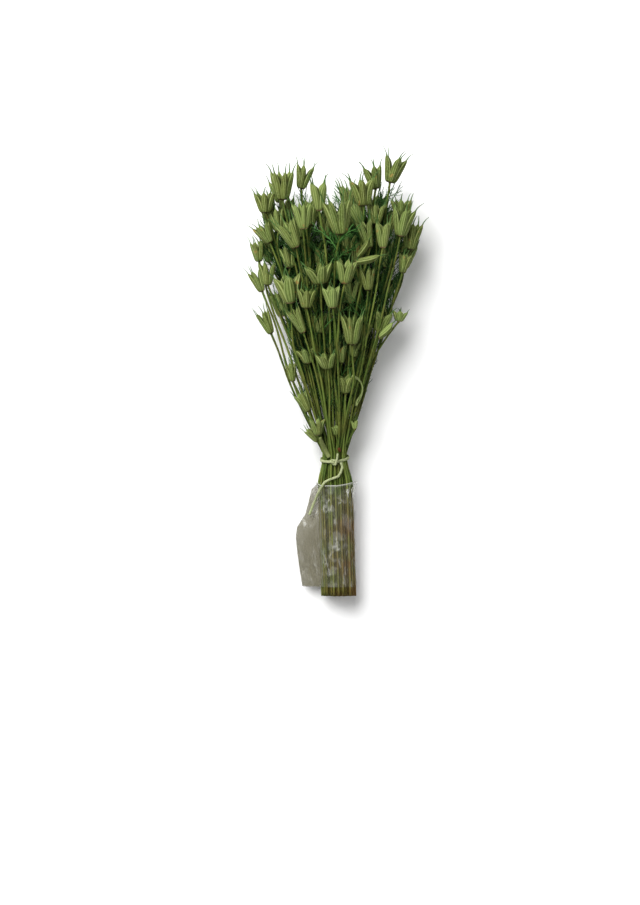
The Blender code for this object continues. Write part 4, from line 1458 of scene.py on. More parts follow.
    def build(self) -> list[Object]:
        """Builds every dressed stem and puts it in the place of its solid.

        Returns:
            The dressed stems.
        """
        rule = self.leaf_rule
        pieces = []
        for stem in self.plan.stems:
            graft = Graft()
            family = [stem] + [strand for strand in self.plan.strands if strand.parent is stem]
            for strand in family:
                shape = self.stems[strand.name]
                self.front.append(shape.places)
                graft.add(shape.places, shape, Finish.STEM, float(self.rng.random()))
                self.grow_pod(graft, strand)
                line = strand.line()
                share = 1.0 if strand is stem else rule.shoot_share
                crowd = limited((strand.foot[1] - rule.crowd_from) / rule.crowd_over, *rule.crowd)
                for _ in range(int(rule.count * share * crowd)):
                    self.grow_leaf(graft, strand, line)
                for tuft in rule.tufts * rule.tuft_count:
                    self.grow_leaf(graft, strand, line, tuft)
            piece = graft.make("dressed_" + stem.name, self.materials)
            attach(piece, "root")
            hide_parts(stem.name)
            pieces.append(piece)
        return pieces


@dataclass(frozen=True)
class LooseFollicle:
    """One follicle that broke off and lies on the bunch: its two ends, its paleness and its breadth."""

    name: str
    foot: Pair
    tip: Pair
    tint: float
    breadth: float
    keel_up: float


@dataclass(frozen=True)
class LooseStrap:
    """A strap-like leaf or stalk on the bunch: its way, half its width along it, and its three colours."""

    name: str
    route: tuple[Pair, ...]
    widths: tuple[float, ...]
    half_thickness: float
    lift: float
    finish: str
    # The three colours go to the string finish: the strap's own colour, its pale crowns as painted
    # highlight, and its painted shade.
    colours: tuple[Triple, Triple, Triple]


@dataclass
class LooseParts:
    """The single follicles and straps that lie on the front of the bunch."""

    front: np.ndarray
    follicles: tuple[LooseFollicle, ...] = (
        LooseFollicle("follicle_across", (20.5, 194.5), (43.0, 194.0), 0.65, 4.6, 0.25),
        LooseFollicle("follicle_aslant", (21.0, 199.5), (36.0, 211.0), 0.10, 4.2, 0.10),
        LooseFollicle("follicle_pale", (43.0, 121.5), (59.0, 129.0), 1.00, 5.0, 0.35),
    )
    straps: tuple[LooseStrap, ...] = (
        LooseStrap(
            "curved_leaf",
            ((17.2, 80.5), (22.5, 78.6), (26.4, 74.4), (28.0, 68.6), (27.2, 63.2), (24.6, 58.6),
             (22.4, 54.6), (21.4, 51.0)),
            (1.2, 1.5, 1.2, 0.75, 0.70, 0.95, 1.9, 1.0), 0.35, 0.6,
            "pale_strap", ((0.26, 0.33, 0.12), (0.50, 0.56, 0.26), (0.14, 0.19, 0.05)),
        ),
        LooseStrap(
            "flat_stalk",
            ((-14.6, 19.6), (-12.8, 14.0), (-10.2, 8.4), (-7.6, 3.4), (-5.4, -0.6)),
            (1.3, 2.3, 2.7, 2.5, 1.9), 0.6, 0.3,
            "dull_strap", ((0.17, 0.20, 0.075), (0.31, 0.34, 0.15), (0.09, 0.12, 0.035)),
        ),
        LooseStrap(
            "cut_stub", ((4.0, 9.2), (4.5, 7.4), (5.1, 5.4)), (1.1, 1.6, 1.4), 0.8, 0.2,
            "brown_stub", ((0.12, 0.045, 0.015), (0.20, 0.08, 0.03), (0.025, 0.010, 0.005)),
        ),
    )
    feeler: float = 2.6
    lift: float = 1.2
    copy_size: Triple = (9.5, 2.4, 1.02)
    sink: float = 4.4
    calming: Triple = (0.25, 0.5, 0.25)
    dip: float = 0.8
    strap_step: float = 1.2
    twist: Pair = (0.35, 3.0)

    def height(self, x: float, y: float) -> float:
        """Gives the height of the bunch's front over a place, or the neck's if nothing is there.

        Args:
            x: how far right the place is.
            y: how far up the bunch it is.

        Returns:
            The height, in millimetres.
        """
        reach = self.feeler
        near = (np.abs(self.front[:, 0] - x) < reach) & (np.abs(self.front[:, 1] - y) < reach)
        if not near.any():
            return axis_z(y)
        return float(self.front[near, 2].max())

    def lay_follicle(self, bit: LooseFollicle, shape: MasterShape, material: Material) -> str:
        """Lays one follicle on the bunch and gives its name.

        Args:
            bit: the follicle.
            shape: the shape it is a copy of.
            material: the pods' material.

        Returns:
            The name of the piece.
        """
        start, end = Vector(bit.foot), Vector(bit.tip)
        samples = [start.lerp(end, t) for t in (0.0, 0.25, 0.5, 0.75, 1.0)]
        heights = sorted(self.height(p.x, p.y) for p in samples)
        level = heights[-2] + self.lift
        length = (end - start).length / self.copy_size[2]
        along = Vector((end.x - start.x, end.y - start.y, 0.0)).normalized()
        side = UP.cross(along)
        outward = (UP * bit.keel_up + side * math.sqrt(1.0 - bit.keel_up**2)).normalized()
        local = shape.places * np.array([self.copy_size[0], bit.breadth * self.copy_size[1], length])
        local[:, 0] -= self.sink
        basis = rows_of((outward, along.cross(outward), along))
        graft = Graft()
        places = np.array((start.x, start.y, level)) + local @ basis
        graft.add(places, shape, Finish.POD, bit.tint)
        piece = graft.make(bit.name, [material])
        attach(piece, "root")
        return piece.name

    def lay_strap(self, bit: LooseStrap, material: Material) -> str:
        """Lays one strap on the bunch and gives its name.

        Args:
            bit: the strap.
            material: its material.

        Returns:
            The name of the piece.
        """
        heights = [self.height(x, y) for x, y in bit.route]
        calm = np.convolve(np.pad(heights, 1, mode="edge"), self.calming, mode="valid")
        ends = np.linspace(0.0, 1.0, len(calm))
        line = [
            Vector((x, y, max(z, h - self.dip) + bit.half_thickness + bit.lift))
            for (x, y), z, h in zip(bit.route, calm, heights)
        ]
        fine = NeckTie.even_steps(line, self.strap_step)
        shares = np.linspace(0.0, 1.0, len(fine))
        widths = [float(w) for w in np.interp(shares, ends, bit.widths)]
        ups = [
            Vector((self.twist[0] * math.sin(self.twist[1] * share), 0.0, 1.0)).normalized()
            for share in shares
        ]
        piece = FibreString(1.0, bit.half_thickness).make(bit.name, fine, ups, False, material, widths)
        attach(piece, "root")
        return piece.name


class NodeBench:
    """Adds and joins the nodes of one tree."""

    def __init__(self, tree: NodeTree) -> None:
        """Keeps the tree."""
        self.tree = tree

    @classmethod
    def material(cls, name: str) -> tuple[Material, "NodeBench", Node]:
        """Makes a material of a name, and gives it, a bench on its nodes and its shader."""
        made = bpy.data.materials.new(name)
        made.use_nodes = True
        return made, cls(made.node_tree), made.node_tree.nodes["Principled BSDF"]

    def node(self, kind: str, **settings: object) -> Node:
        """Adds a node of a kind and gives it its settings."""
        made = self.tree.nodes.new(kind)
        for name, value in settings.items():
            setattr(made, name, value)
        return made

    def put(self, socket: NodeSocket, value: object) -> None:
        """Links a socket to another, or sets it to a plain value."""
        if isinstance(value, NodeSocket):
            self.tree.links.new(value, socket)
        elif isinstance(value, tuple) and len(value) == 3 and socket.type == "RGBA":
            socket.default_value = (*value, 1.0)
        else:
            socket.default_value = value

    def fed(self, made: Node, values: dict[object, object], result: object) -> NodeSocket:
        """Feeds a node's inputs, by their names or numbers, and gives one of its outputs."""
        for socket, value in values.items():
            self.put(made.inputs[socket], value)
        return made.outputs[result]

    def math(self, operation: str, *values: object, clamp: bool = False) -> NodeSocket:
        """Adds a Math node and gives its result."""
        made = self.node("ShaderNodeMath", operation=operation, use_clamp=clamp)
        return self.fed(made, dict(enumerate(values)), 0)

    def vector(self, operation: str, *values: object) -> NodeSocket:
        """Adds a Vector Math node and gives its result."""
        made = self.node("ShaderNodeVectorMath", operation=operation)
        return self.fed(made, dict(enumerate(values)), 0)

    def mix(self, share: object, first: object, second: object) -> NodeSocket:
        """Mixes two colours by a share and gives the result."""
        made = self.node("ShaderNodeMix", data_type="RGBA")
        return self.fed(made, {"Factor": share, 6: first, 7: second}, 2)

    def tinge(self, colour: object, mask: object, share: float, other: object) -> NodeSocket:
        """Mixes another colour into a colour, by a share of a mask, and gives the result."""
        return self.mix(self.math("MULTIPLY", mask, share), colour, other)

    def span(self, value: object, low: object, high: object) -> NodeSocket:
        """Gives 0 where a value is below low, 1 where it is above high, and a smooth step between."""
        made = self.node("ShaderNodeMapRange", interpolation_type="SMOOTHSTEP")
        return self.fed(made, {"Value": value, "From Min": low, "From Max": high}, "Result")

    def fading(self, value: object, low: float, high: float) -> NodeSocket:
        """Gives 1 where a value is below low, 0 where it is above high, and a smooth step between."""
        return self.math("SUBTRACT", 1.0, self.span(value, low, high))

    def noise(self, spot: object, scale: object, detail: float) -> NodeSocket:
        """Adds a noise texture and gives its strength at a spot."""
        made = self.node("ShaderNodeTexNoise")
        return self.fed(made, {"Vector": spot, "Scale": scale, "Detail": detail}, "Fac")

    def place(self) -> NodeSocket:
        """Gives the place on the piece."""
        return self.node("ShaderNodeTexCoord").outputs["Object"]

    def coordinate(self, axis: int) -> NodeSocket:
        """Gives one coordinate of the place on the piece."""
        return self.fed(self.node("ShaderNodeSeparateXYZ"), {0: self.place()}, axis)

    def relief(self, height: object, strength: float, distance: float) -> NodeSocket:
        """Adds a Bump node and gives its normal."""
        values = {"Strength": strength, "Distance": distance, "Height": height}
        return self.fed(self.node("ShaderNodeBump"), values, "Normal")

    def mark(self, name: str) -> NodeSocket:
        """Reads one of the marks on a mesh's corners."""
        return self.node("ShaderNodeAttribute", attribute_name=name).outputs["Fac"]

    def group(self, tree: NodeTree, **values: float) -> NodeSocket:
        """Places a shared node group with its own values and gives its result."""
        made = self.node("ShaderNodeGroup")
        made.node_tree = tree
        return self.fed(made, values, 0)


class SharedEffects:
    """The effects that several finishes use, each a node group that is built once."""

    def __init__(self) -> None:
        """Builds the groups."""
        self.grain = self.build_grain()
        self.mottle = self.build_mottle()

    @staticmethod
    def start(name: str, inputs: dict[str, float], output: str) -> tuple:
        """Makes an empty group with named values in and out.

        Args:
            name: the group's name.
            inputs: the names and values of its inputs.
            output: the name of its output.

        Returns:
            The tree, a bench on it, the sockets of its inputs and the socket of its output.
        """
        tree = bpy.data.node_groups.new(name, "ShaderNodeTree")
        for label, value in inputs.items():
            socket = tree.interface.new_socket(label, in_out="INPUT", socket_type="NodeSocketFloat")
            socket.default_value = value
        tree.interface.new_socket(output, in_out="OUTPUT", socket_type="NodeSocketFloat")
        bench = NodeBench(tree)
        given = bench.node("NodeGroupInput").outputs
        return tree, bench, given, bench.node("NodeGroupOutput").inputs[output]

    def build_grain(self) -> NodeTree:
        """Builds fine streaks that run along the bunch, as on dried stems and pods.

        Returns:
            The group's tree.
        """
        tree, bench, given, out = self.start(
            "lengthwise_grain", {"Fineness": 900.0, "Stretch": 9.0, "Contrast": 1.0}, "Grain"
        )
        long = bench.math("DIVIDE", given["Fineness"], given["Stretch"])
        sizes = {0: given["Fineness"], 1: long, 2: given["Fineness"]}
        size = bench.fed(bench.node("ShaderNodeCombineXYZ"), sizes, 0)
        streaks = bench.noise(bench.vector("MULTIPLY", bench.place(), size), 1.0, 3.0)
        strong = bench.math("MULTIPLY", bench.math("SUBTRACT", streaks, 0.5), given["Contrast"])
        bench.put(out, bench.math("ADD", strong, 0.5, clamp=True))
        return tree

    def build_mottle(self) -> NodeTree:
        """Builds soft patches of a given size and share.

        Returns:
            The group's tree.
        """
        tree, bench, given, out = self.start(
            "mottle", {"Scale": 120.0, "Threshold": 0.5, "Softness": 0.12, "Offset": 0.0}, "Patches"
        )
        spots = bench.noise(bench.vector("ADD", bench.place(), given["Offset"]), given["Scale"], 2.5)
        low = bench.math("SUBTRACT", given["Threshold"], given["Softness"])
        high = bench.math("ADD", given["Threshold"], given["Softness"])
        bench.put(out, bench.span(spots, low, high))
        return tree


@dataclass(frozen=True)
class PlantFinish:
    """What every dry plant finish shares: its roughness and how deep its relief is."""

    name: str
    roughness: float
    relief: float

    def start(self) -> tuple[Material, NodeBench, Node]:
        """Makes the material, a bench on its nodes, and gives its shader."""
        material, bench, shader = NodeBench.material(self.name)
        shader.inputs["Specular IOR Level"].default_value = 0.18
        return material, bench, shader

    def close(self, bench: NodeBench, shader: Node, colour: object, height: object) -> None:
        """Feeds the colour and the relief to the shader.

        Args:
            bench: the bench on the material's nodes.
            shader: its Principled BSDF.
            colour: the base colour.
            height: the height of the relief, from 0 to 1.
        """
        bench.put(shader.inputs["Base Color"], colour)
        rough = bench.math("MULTIPLY_ADD", height, -0.18, self.roughness + 0.09)
        bench.put(shader.inputs["Roughness"], rough)
        bench.put(shader.inputs["Normal"], bench.relief(height, 0.6, self.relief))


@dataclass(frozen=True)
class PodFinish(PlantFinish):
    """Dried follicle walls: olive, pale ribs partly as painted highlight, painted shade in the grooves, tan
    patches, bluish beaks and a dark ring at the foot.
    """

    # deep is the dark of the mottle, and also the painted shade put into the grooves between the ribs.
    deep: Colour = (0.034, 0.056, 0.008)
    mid: Colour = (0.086, 0.122, 0.022)
    pale: Colour = (0.250, 0.330, 0.108)
    brown: Colour = (0.165, 0.120, 0.030)
    # The ribs' own pale nerve colour, made paler still as a painted highlight on the ridges.
    rib: Colour = (0.440, 0.500, 0.210)
    tan: Colour = (0.360, 0.210, 0.070)
    lining: Colour = (0.170, 0.235, 0.060)
    beak: Colour = (0.078, 0.150, 0.046)
    blush: Colour = (0.420, 0.260, 0.160)
    ring: Colour = (0.055, 0.020, 0.012)

    def build(self, effects: SharedEffects) -> Material:
        """Builds the material with the shared effects.

        Args:
            effects: the shared effects.

        Returns:
            The material.
        """
        material, bench, shader = self.start()
        grain = bench.group(effects.grain, Fineness=1100.0, Stretch=4.5, Contrast=1.5)
        patches = bench.group(effects.mottle, Scale=95.0, Threshold=0.50, Softness=0.16)
        scars = bench.group(effects.mottle, Scale=110.0, Threshold=0.69, Softness=0.03, Offset=0.7)
        veins = bench.group(effects.mottle, Scale=640.0, Threshold=0.52, Softness=0.09)
        along = bench.mark("along")
        tint = bench.mark("tint")
        rib = bench.math("POWER", bench.mark("rib"), 3.4)
        brown_share = bench.math("FRACT", bench.math("MULTIPLY", tint, 7.3))
        colour = bench.mix(patches, self.deep, self.mid)
        colour = bench.tinge(colour, bench.math("POWER", tint, 2.0), 0.75, self.pale)
        colour = bench.tinge(colour, brown_share, 0.35, self.brown)
        colour = bench.tinge(colour, bench.span(grain, 0.35, 0.85), 0.45, self.pale)
        colour = bench.tinge(colour, veins, 0.34, self.pale)
        # Painted shade: the grooves between the ribs and the seams where follicles meet are darkened towards
        # deep.
        colour = bench.tinge(colour, bench.fading(bench.mark("rib"), 0.0, 0.35), 0.58, self.deep)
        colour = bench.mix(bench.mark("inside"), colour, self.lining)
        # The ribs: their real pale colour, partly a painted highlight on the ridges.
        colour = bench.tinge(colour, rib, 0.82, self.rib)
        colour = bench.tinge(colour, scars, 0.62, self.tan)
        colour = bench.mix(bench.span(along, 0.96, 1.16), colour, self.beak)
        end = bench.mix(bench.span(tint, 0.62, 0.74), self.ring, self.blush)
        colour = bench.tinge(colour, bench.fading(along, 0.0, 0.05), 0.85, end)
        height = bench.math("MULTIPLY_ADD", grain, 0.6, bench.math("MULTIPLY", rib, 0.4))
        self.close(bench, shader, colour, height)
        return material


@dataclass(frozen=True)
class StemFinish(PlantFinish):
    """Dried stems: yellow-green with pale streaks, brown and tan towards the cut ends."""

    green: Colour = (0.036, 0.066, 0.009)
    pale: Colour = (0.222, 0.292, 0.072)
    tan: Colour = (0.240, 0.155, 0.050)
    umber: Colour = (0.070, 0.040, 0.014)

    def build(self, effects: SharedEffects) -> Material:
        """Builds the material with the shared effects.

        Args:
            effects: the shared effects.

        Returns:
            The material.
        """
        material, bench, shader = self.start()
        grain = bench.group(effects.grain, Fineness=1300.0, Stretch=26.0, Contrast=1.8)
        patches = bench.group(effects.mottle, Scale=60.0, Threshold=0.5, Softness=0.14)
        low = bench.fading(bench.coordinate(1), PLACE.neck_y - 0.062, PLACE.neck_y - 0.020)
        right = bench.span(bench.coordinate(0), -0.010, 0.014)
        dry = bench.math("MULTIPLY", low, bench.math("MULTIPLY_ADD", right, 0.55, 0.42), clamp=True)
        dry_patches = bench.math("MULTIPLY", dry, bench.math("MULTIPLY_ADD", patches, 0.4, 0.6))
        tint = bench.math("POWER", bench.mark("tint"), 1.9)
        colour = bench.tinge(self.green, tint, 0.62, self.pale)
        colour = bench.tinge(colour, bench.span(grain, 0.3, 0.8), 0.40, self.pale)
        colour = bench.tinge(colour, patches, 0.20, self.tan)
        husk = bench.mix(bench.math("MULTIPLY_ADD", grain, 0.7, 0.1), self.umber, self.tan)
        colour = bench.mix(dry_patches, colour, husk)
        self.close(bench, shader, colour, grain)
        return material


@dataclass(frozen=True)
class LeafFinish(PlantFinish):
    """Thread leaves: dark blue-green threads, some paler."""

    dark: Colour = (0.008, 0.022, 0.004)
    mid: Colour = (0.024, 0.064, 0.012)
    fresh: Colour = (0.048, 0.135, 0.034)
    pale: Colour = (0.095, 0.225, 0.058)

    def build(self, effects: SharedEffects) -> Material:
        """Builds the material with the shared effects.

        Args:
            effects: the shared effects.

        Returns:
            The material.
        """
        material, bench, shader = self.start()
        patches = bench.group(effects.mottle, Scale=45.0, Threshold=0.5, Softness=0.15)
        grain = bench.group(effects.grain, Fineness=1200.0, Stretch=5.0, Contrast=1.0)
        high = bench.span(bench.coordinate(1), PLACE.neck_y + 0.14, PLACE.neck_y + 0.27)
        colour = bench.mix(patches, self.dark, self.mid)
        colour = bench.tinge(colour, high, 0.55, self.fresh)
        colour = bench.mix(bench.math("POWER", bench.mark("tint"), 2.5), colour, self.pale)
        self.close(bench, shader, colour, grain)
        return material


@dataclass(frozen=True)
class StringFinish(PlantFinish):
    """The flat sage string: fine twisted fibres, with painted highlight on their crowns and painted shade
    between them.
    """

    sage: Colour = (0.30, 0.36, 0.17)
    pale: Colour = (0.60, 0.62, 0.40)
    shade: Colour = (0.17, 0.21, 0.09)

    def build(self, effects: SharedEffects) -> Material:
        """Builds the material with the shared effects.

        Args:
            effects: the shared effects.

        Returns:
            The material.
        """
        material, bench, shader = self.start()
        fibre_map = bench.node("ShaderNodeUVMap", uv_map="fibre").outputs[0]
        threads = bench.noise(bench.vector("MULTIPLY", fibre_map, (14.0, 120.0, 1.0)), 1.0, 2.0)
        fibre = bench.span(threads, 0.34, 0.66)
        patches = bench.group(effects.mottle, Scale=150.0, Threshold=0.5, Softness=0.2)
        # The fibre streaks are painted light: paler crowns as painted highlight, darker grooves between them
        # as painted shade.
        colour = bench.tinge(bench.mix(fibre, self.shade, self.pale), patches, 0.45, self.sage)
        self.close(bench, shader, colour, fibre)
        return material


@dataclass(frozen=True)
class FilmFinish:
    """Clear film: nearly invisible where it is flat, with painted highlights along its creases and rim,
    milky on the flap.
    """

    name: str = "clear_film"
    clear_colour: Colour = (0.84, 0.84, 0.80)
    milky_colour: Colour = (0.25, 0.235, 0.17)
    roughness: float = 0.16
    clear: float = 0.02
    # How opaque the painted highlights along the creases and the rim are.
    glint_opacity: float = 0.55

    def build(self, effects: SharedEffects) -> Material:
        """Builds the material with the shared effects.

        Args:
            effects: the shared effects.

        Returns:
            The material.
        """
        material, bench, shader = NodeBench.material(self.name)
        shader.inputs["IOR"].default_value = 1.49
        patches = bench.group(effects.mottle, Scale=110.0, Threshold=0.56, Softness=0.07)
        waves = bench.group(effects.mottle, Scale=210.0, Softness=0.3)
        # The first mark is a painted highlight: the film turns whiter and more opaque along its creases and
        # rim, most at the glint spots.
        crease_glint, milky = bench.mark("crease_glint"), bench.mark("milky")
        glint_whitening = bench.math("MULTIPLY", crease_glint, 0.8)
        greyer = bench.math("SUBTRACT", bench.span(milky, 0.02, 0.20), glint_whitening, clamp=True)
        # The veil is the painted highlight's opacity, or the flap's milkiness where that is greater.
        veil = bench.math("MAXIMUM", bench.math("MULTIPLY", crease_glint, self.glint_opacity), milky)
        cloud = bench.math("MULTIPLY_ADD", patches, 0.05, self.clear)
        bench.put(shader.inputs["Base Color"], bench.mix(greyer, self.clear_colour, self.milky_colour))
        bench.put(shader.inputs["Alpha"], bench.math("ADD", cloud, veil, clamp=True))
        bench.put(shader.inputs["Roughness"], bench.math("MULTIPLY_ADD", patches, 0.16, self.roughness))
        bench.put(shader.inputs["Normal"], bench.relief(waves, 0.35, 0.0006))
        return material


@dataclass
class FibreString:
    """A flat string along a line: half its width and half its thickness in millimetres."""

    half_width: float
    half_thickness: float
    sides: int = 10

    def make(
        self, name: str, line: list[Vector], ups: list[Vector], closed: bool,
        material: Material, widths: list[float] | None = None,
    ) -> Object:
        """Makes the string as a mesh with its own map along the fibres.

        Args:
            name: the object's name.
            line: the points of its middle.
            ups: at each point, the direction of its flat side.
            closed: True where the line is a ring.
            material: its material.
            widths: how much wider than usual it is at each point, or None.

        Returns:
            The string, in metres.
        """
        places = []
        count = len(line)
        for number, point in enumerate(line):
            ahead = line[(number + 1) % count] if closed else line[min(number + 1, count - 1)]
            behind = line[number - 1] if closed else line[max(number - 1, 0)]
            axis = (ahead - behind).normalized()
            flat = axis.cross(ups[number]).normalized()
            up = flat.cross(axis).normalized()
            swell = (1.0 + 0.07 * math.sin(1.7 * number)) * (widths[number] if widths else 1.0)
            for side in range(self.sides):
                angle = TURN * side / self.sides
                ridge = 1.0 + 0.06 * math.cos(3.0 * angle + 0.8 * number)
                out = flat * (math.cos(angle) * self.half_width * swell * ridge)
                places.append(point + out + up * (math.sin(angle) * self.half_thickness * ridge))
        bm = bmesh.new()
        corners = [bm.verts.new(place) for place in PLACE.metres(places)]
        layer = bm.loops.layers.uv.new("fibre")
        rings = count if closed else count - 1
        for number in range(rings):
            for side in range(self.sides):
                following, beside = (number + 1) % count, (side + 1) % self.sides
                spots = ((number, side), (number, beside), (following, beside), (following, side))
                face = bm.faces.new([corners[n * self.sides + s] for n, s in spots])
                flats = ((number, side), (number, side + 1), (number + 1, side + 1), (number + 1, side))
                for loop, (n, s) in zip(face.loops, flats):
                    loop[layer].uv = (n / 20.0, s / self.sides)
        if not closed:
            for end in (0, count - 1):
                cap = bm.faces.new([corners[end * self.sides + side] for side in range(self.sides)])
                for loop in cap.loops:
                    loop[layer].uv = (end / 20.0, 0.5)
        bmesh.ops.recalc_face_normals(bm, faces=bm.faces)
        mesh = bpy.data.meshes.new(name)
        bm.to_mesh(mesh)
        bm.free()
        mesh.polygons.foreach_set("use_smooth", [True] * len(mesh.polygons))
        mesh.materials.append(material)
        return Workbench.link(name, mesh)


@dataclass
class NeckTie:
    """The string round the neck with its knot, its short end and its long tail."""

    radius: float = 14.35
    middle_y: float = -1.5
    slope_x: float = 1.3 / 14.5
    slope_z: float = -3.2 / 14.5
    string_radius: float = 1.2
    knot_angle: float = 91.0
    knot_low_y: float = -5.0
    tail_radius: float = 1.3
    tail_clearance: float = 0.45
    tail_step: float = 5.0
    tail_fine: float = 1.25
    short_end: tuple[Triple, ...] = (
        (0.6, -3.4, 1.8), (1.4, -1.0, 2.5), (2.2, 1.6, 3.0), (2.8, 5.0, 3.2), (3.2, 8.6, 3.4),
    )
    end_step: float = 0.9
    route_steps: int = 12
    calm_points: int = 5
    tail_string: Pair = (1.28, 1.0)
    ring_string: Pair = (1.45, 0.62)
    ring_inset: float = 0.25
    ring_steps: int = 96
    knot_string: Pair = (1.15, 0.75)
    knot_size: Triple = (1.30, 0.82, 0.95)
    knot_rise: float = 1.5
    knot_steps: int = 72
    end_string: Pair = (1.0, 0.5)
    route: tuple[Pair, ...] = (
        (6.3, -5.4), (7.3, -8.0), (7.5, -11.0), (6.4, -14.6), (3.8, -19.2), (-0.6, -21.2), (-5.4, -22.7),
        (-9.6, -24.8), (-12.2, -28.6), (-15.8, -34.6), (-19.4, -43.0), (-22.6, -50.6), (-25.4, -58.2),
    )

    def ring_point(self, angle: float, radius: float) -> Vector:
        """Gives a point of the ring round the neck."""
        x = radius * math.cos(angle)
        z = radius * math.sin(angle)
        y = self.middle_y + self.slope_x * x + self.slope_z * z
        return Vector((x, y, z + axis_z(y)))

    def resting_height(self, x: float, y: float, sleeve: "FilmSleeve") -> float:
        """Gives the height at which the tail's middle rests over a place.

        Args:
            x: how far right the place is.
            y: how far up the bunch it is.
            sleeve: the film's sleeve.

        Returns:
            The height, in millimetres.
        """
        reach = self.tail_radius + self.tail_clearance
        feelers = [(0.0, 0.0)] + [
            (share * math.cos(turn * math.pi / 4.0), share * math.sin(turn * math.pi / 4.0))
            for share in (0.5, 0.9)
            for turn in range(8)
        ]
        best = 0.0
        for dx, dy in feelers:
            over_x, over_y = x + dx * reach, y + dy * reach
            radius = SIZES.bundle_radius * lower_scale(over_y)
            offset = min(abs(over_x - axis_x(over_y)), radius * 0.97)
            top = axis_z(over_y) + math.sqrt(radius**2 - offset**2)
            if over_y <= SIZES.sleeve_rim_y:
                top = max(top, sleeve.top(over_x, over_y))
            if over_y > self.knot_low_y:
                top = max(top, axis_z(over_y) + self.radius + self.string_radius)
            best = max(best, top + reach * math.sqrt(1.0 - dx * dx - dy * dy))
        return best

    @staticmethod
    def even_steps(points: list[Vector], step: float) -> list[Vector]:
        """Spaces points evenly along a line, about a step apart.

        Args:
            points: the line's points.
            step: the distance that is wanted.

        Returns:
            The new points.
        """
        lengths = stretches(points)
        stations = np.linspace(0.0, lengths[-1], int(round(lengths[-1] / step)) + 1)
        columns = [np.interp(stations, lengths, [point[k] for point in points]) for k in range(3)]
        return [Vector(place) for place in zip(*columns)]

    def smooth_route(self) -> list[Vector]:
        """Reads points a millimetre apart from a smooth curve through the route's own points.

        Returns:
            The points.
        """
        points = [Vector((x, y, 0.0)) for x, y in self.route]
        fine = []
        padded = [points[0]] + points + [points[-1]]
        for before, start, end, after in zip(padded, padded[1:], padded[2:], padded[3:]):
            for t in np.linspace(0.0, 1.0, self.route_steps, endpoint=False):
                even = 2.0 * start + (end - before) * t
                square = (2.0 * before - 5.0 * start + 4.0 * end - after) * t**2
                cube = (3.0 * start - before - 3.0 * end + after) * t**3
                fine.append(0.5 * (even + square + cube))
        fine.append(points[-1])
        return self.even_steps(fine, 1.0)

    def tail_points(self, sleeve: "FilmSleeve") -> list[Vector]:
        """Lays the tail over the stems and then over the sleeve.

        Args:
            sleeve: the sleeve that it lies on.

        Returns:
            The points of its middle.
        """
        flat = self.smooth_route()
        rest = [self.resting_height(point.x, point.y, sleeve) for point in flat]
        reach = self.calm_points
        high = [max(rest[max(n - reach, 0):n + reach + 1]) for n in range(len(rest))]
        calm = [float(np.mean(high[max(n - reach, 0):n + reach + 1])) for n in range(len(rest))]
        lifted = [Vector((point.x, point.y, z)) for point, z in zip(flat, calm)]
        return self.even_steps(lifted, self.tail_step)

    def build_tail(self, sleeve: "FilmSleeve", material: Material) -> Object:
        """Builds the long tail, a free string whose far end is cut.

        Args:
            sleeve: the sleeve that it lies on.
            material: the string's material.

        Returns:
            The tail.
        """
        line = self.even_steps(self.tail_points(sleeve), self.tail_fine)
        ups = [Vector((0.10 * math.sin(0.5 * n), 0.0, 1.0)).normalized() for n in range(len(line))]
        piece = FibreString(*self.tail_string).make("string_tail", line, ups, False, material)
        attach(piece, "root")
        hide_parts("tie_tail")
        return piece

    def build_ring(self, material: Material) -> Object:
        """Builds the ring round the neck, its knot and its short end as one piece.

        Args:
            material: the string's material.

        Returns:
            The piece.
        """
        angles = [TURN * n / self.ring_steps for n in range(self.ring_steps)]
        line = [self.ring_point(a, self.radius - self.ring_inset) for a in angles]
        ups = [Vector((math.cos(a), 0.15 * math.sin(5.0 * a), math.sin(a))).normalized() for a in angles]
        ring = FibreString(*self.ring_string).make("neck_string", line, ups, True, material)
        middle = self.ring_point(math.radians(self.knot_angle), self.radius + self.knot_rise)
        turns = [TURN * n / self.knot_steps for n in range(self.knot_steps)]
        wide, long, deep = self.knot_size
        knot_line = [
            middle + Vector((
                wide * (math.sin(t) + 2.0 * math.sin(2.0 * t)),
                long * (math.cos(t) - 2.0 * math.cos(2.0 * t)),
                -deep * math.sin(3.0 * t),
            ))
            for t in turns
        ]
        knot_ups = [Vector((0.2 * math.sin(t), 0.3 * math.cos(t), 1.0)).normalized() for t in turns]
        knot = FibreString(*self.knot_string).make("knot", knot_line, knot_ups, True, material)
        end_line = self.even_steps([middle + Vector(offset) for offset in self.short_end], self.end_step)
        end_ups = [UP] * len(end_line)
        end = FibreString(*self.end_string).make("short_end", end_line, end_ups, False, material)
        Workbench.pick(ring, knot, end)
        bpy.ops.object.join()
        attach(ring, "root")
        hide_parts("tie")
        return ring


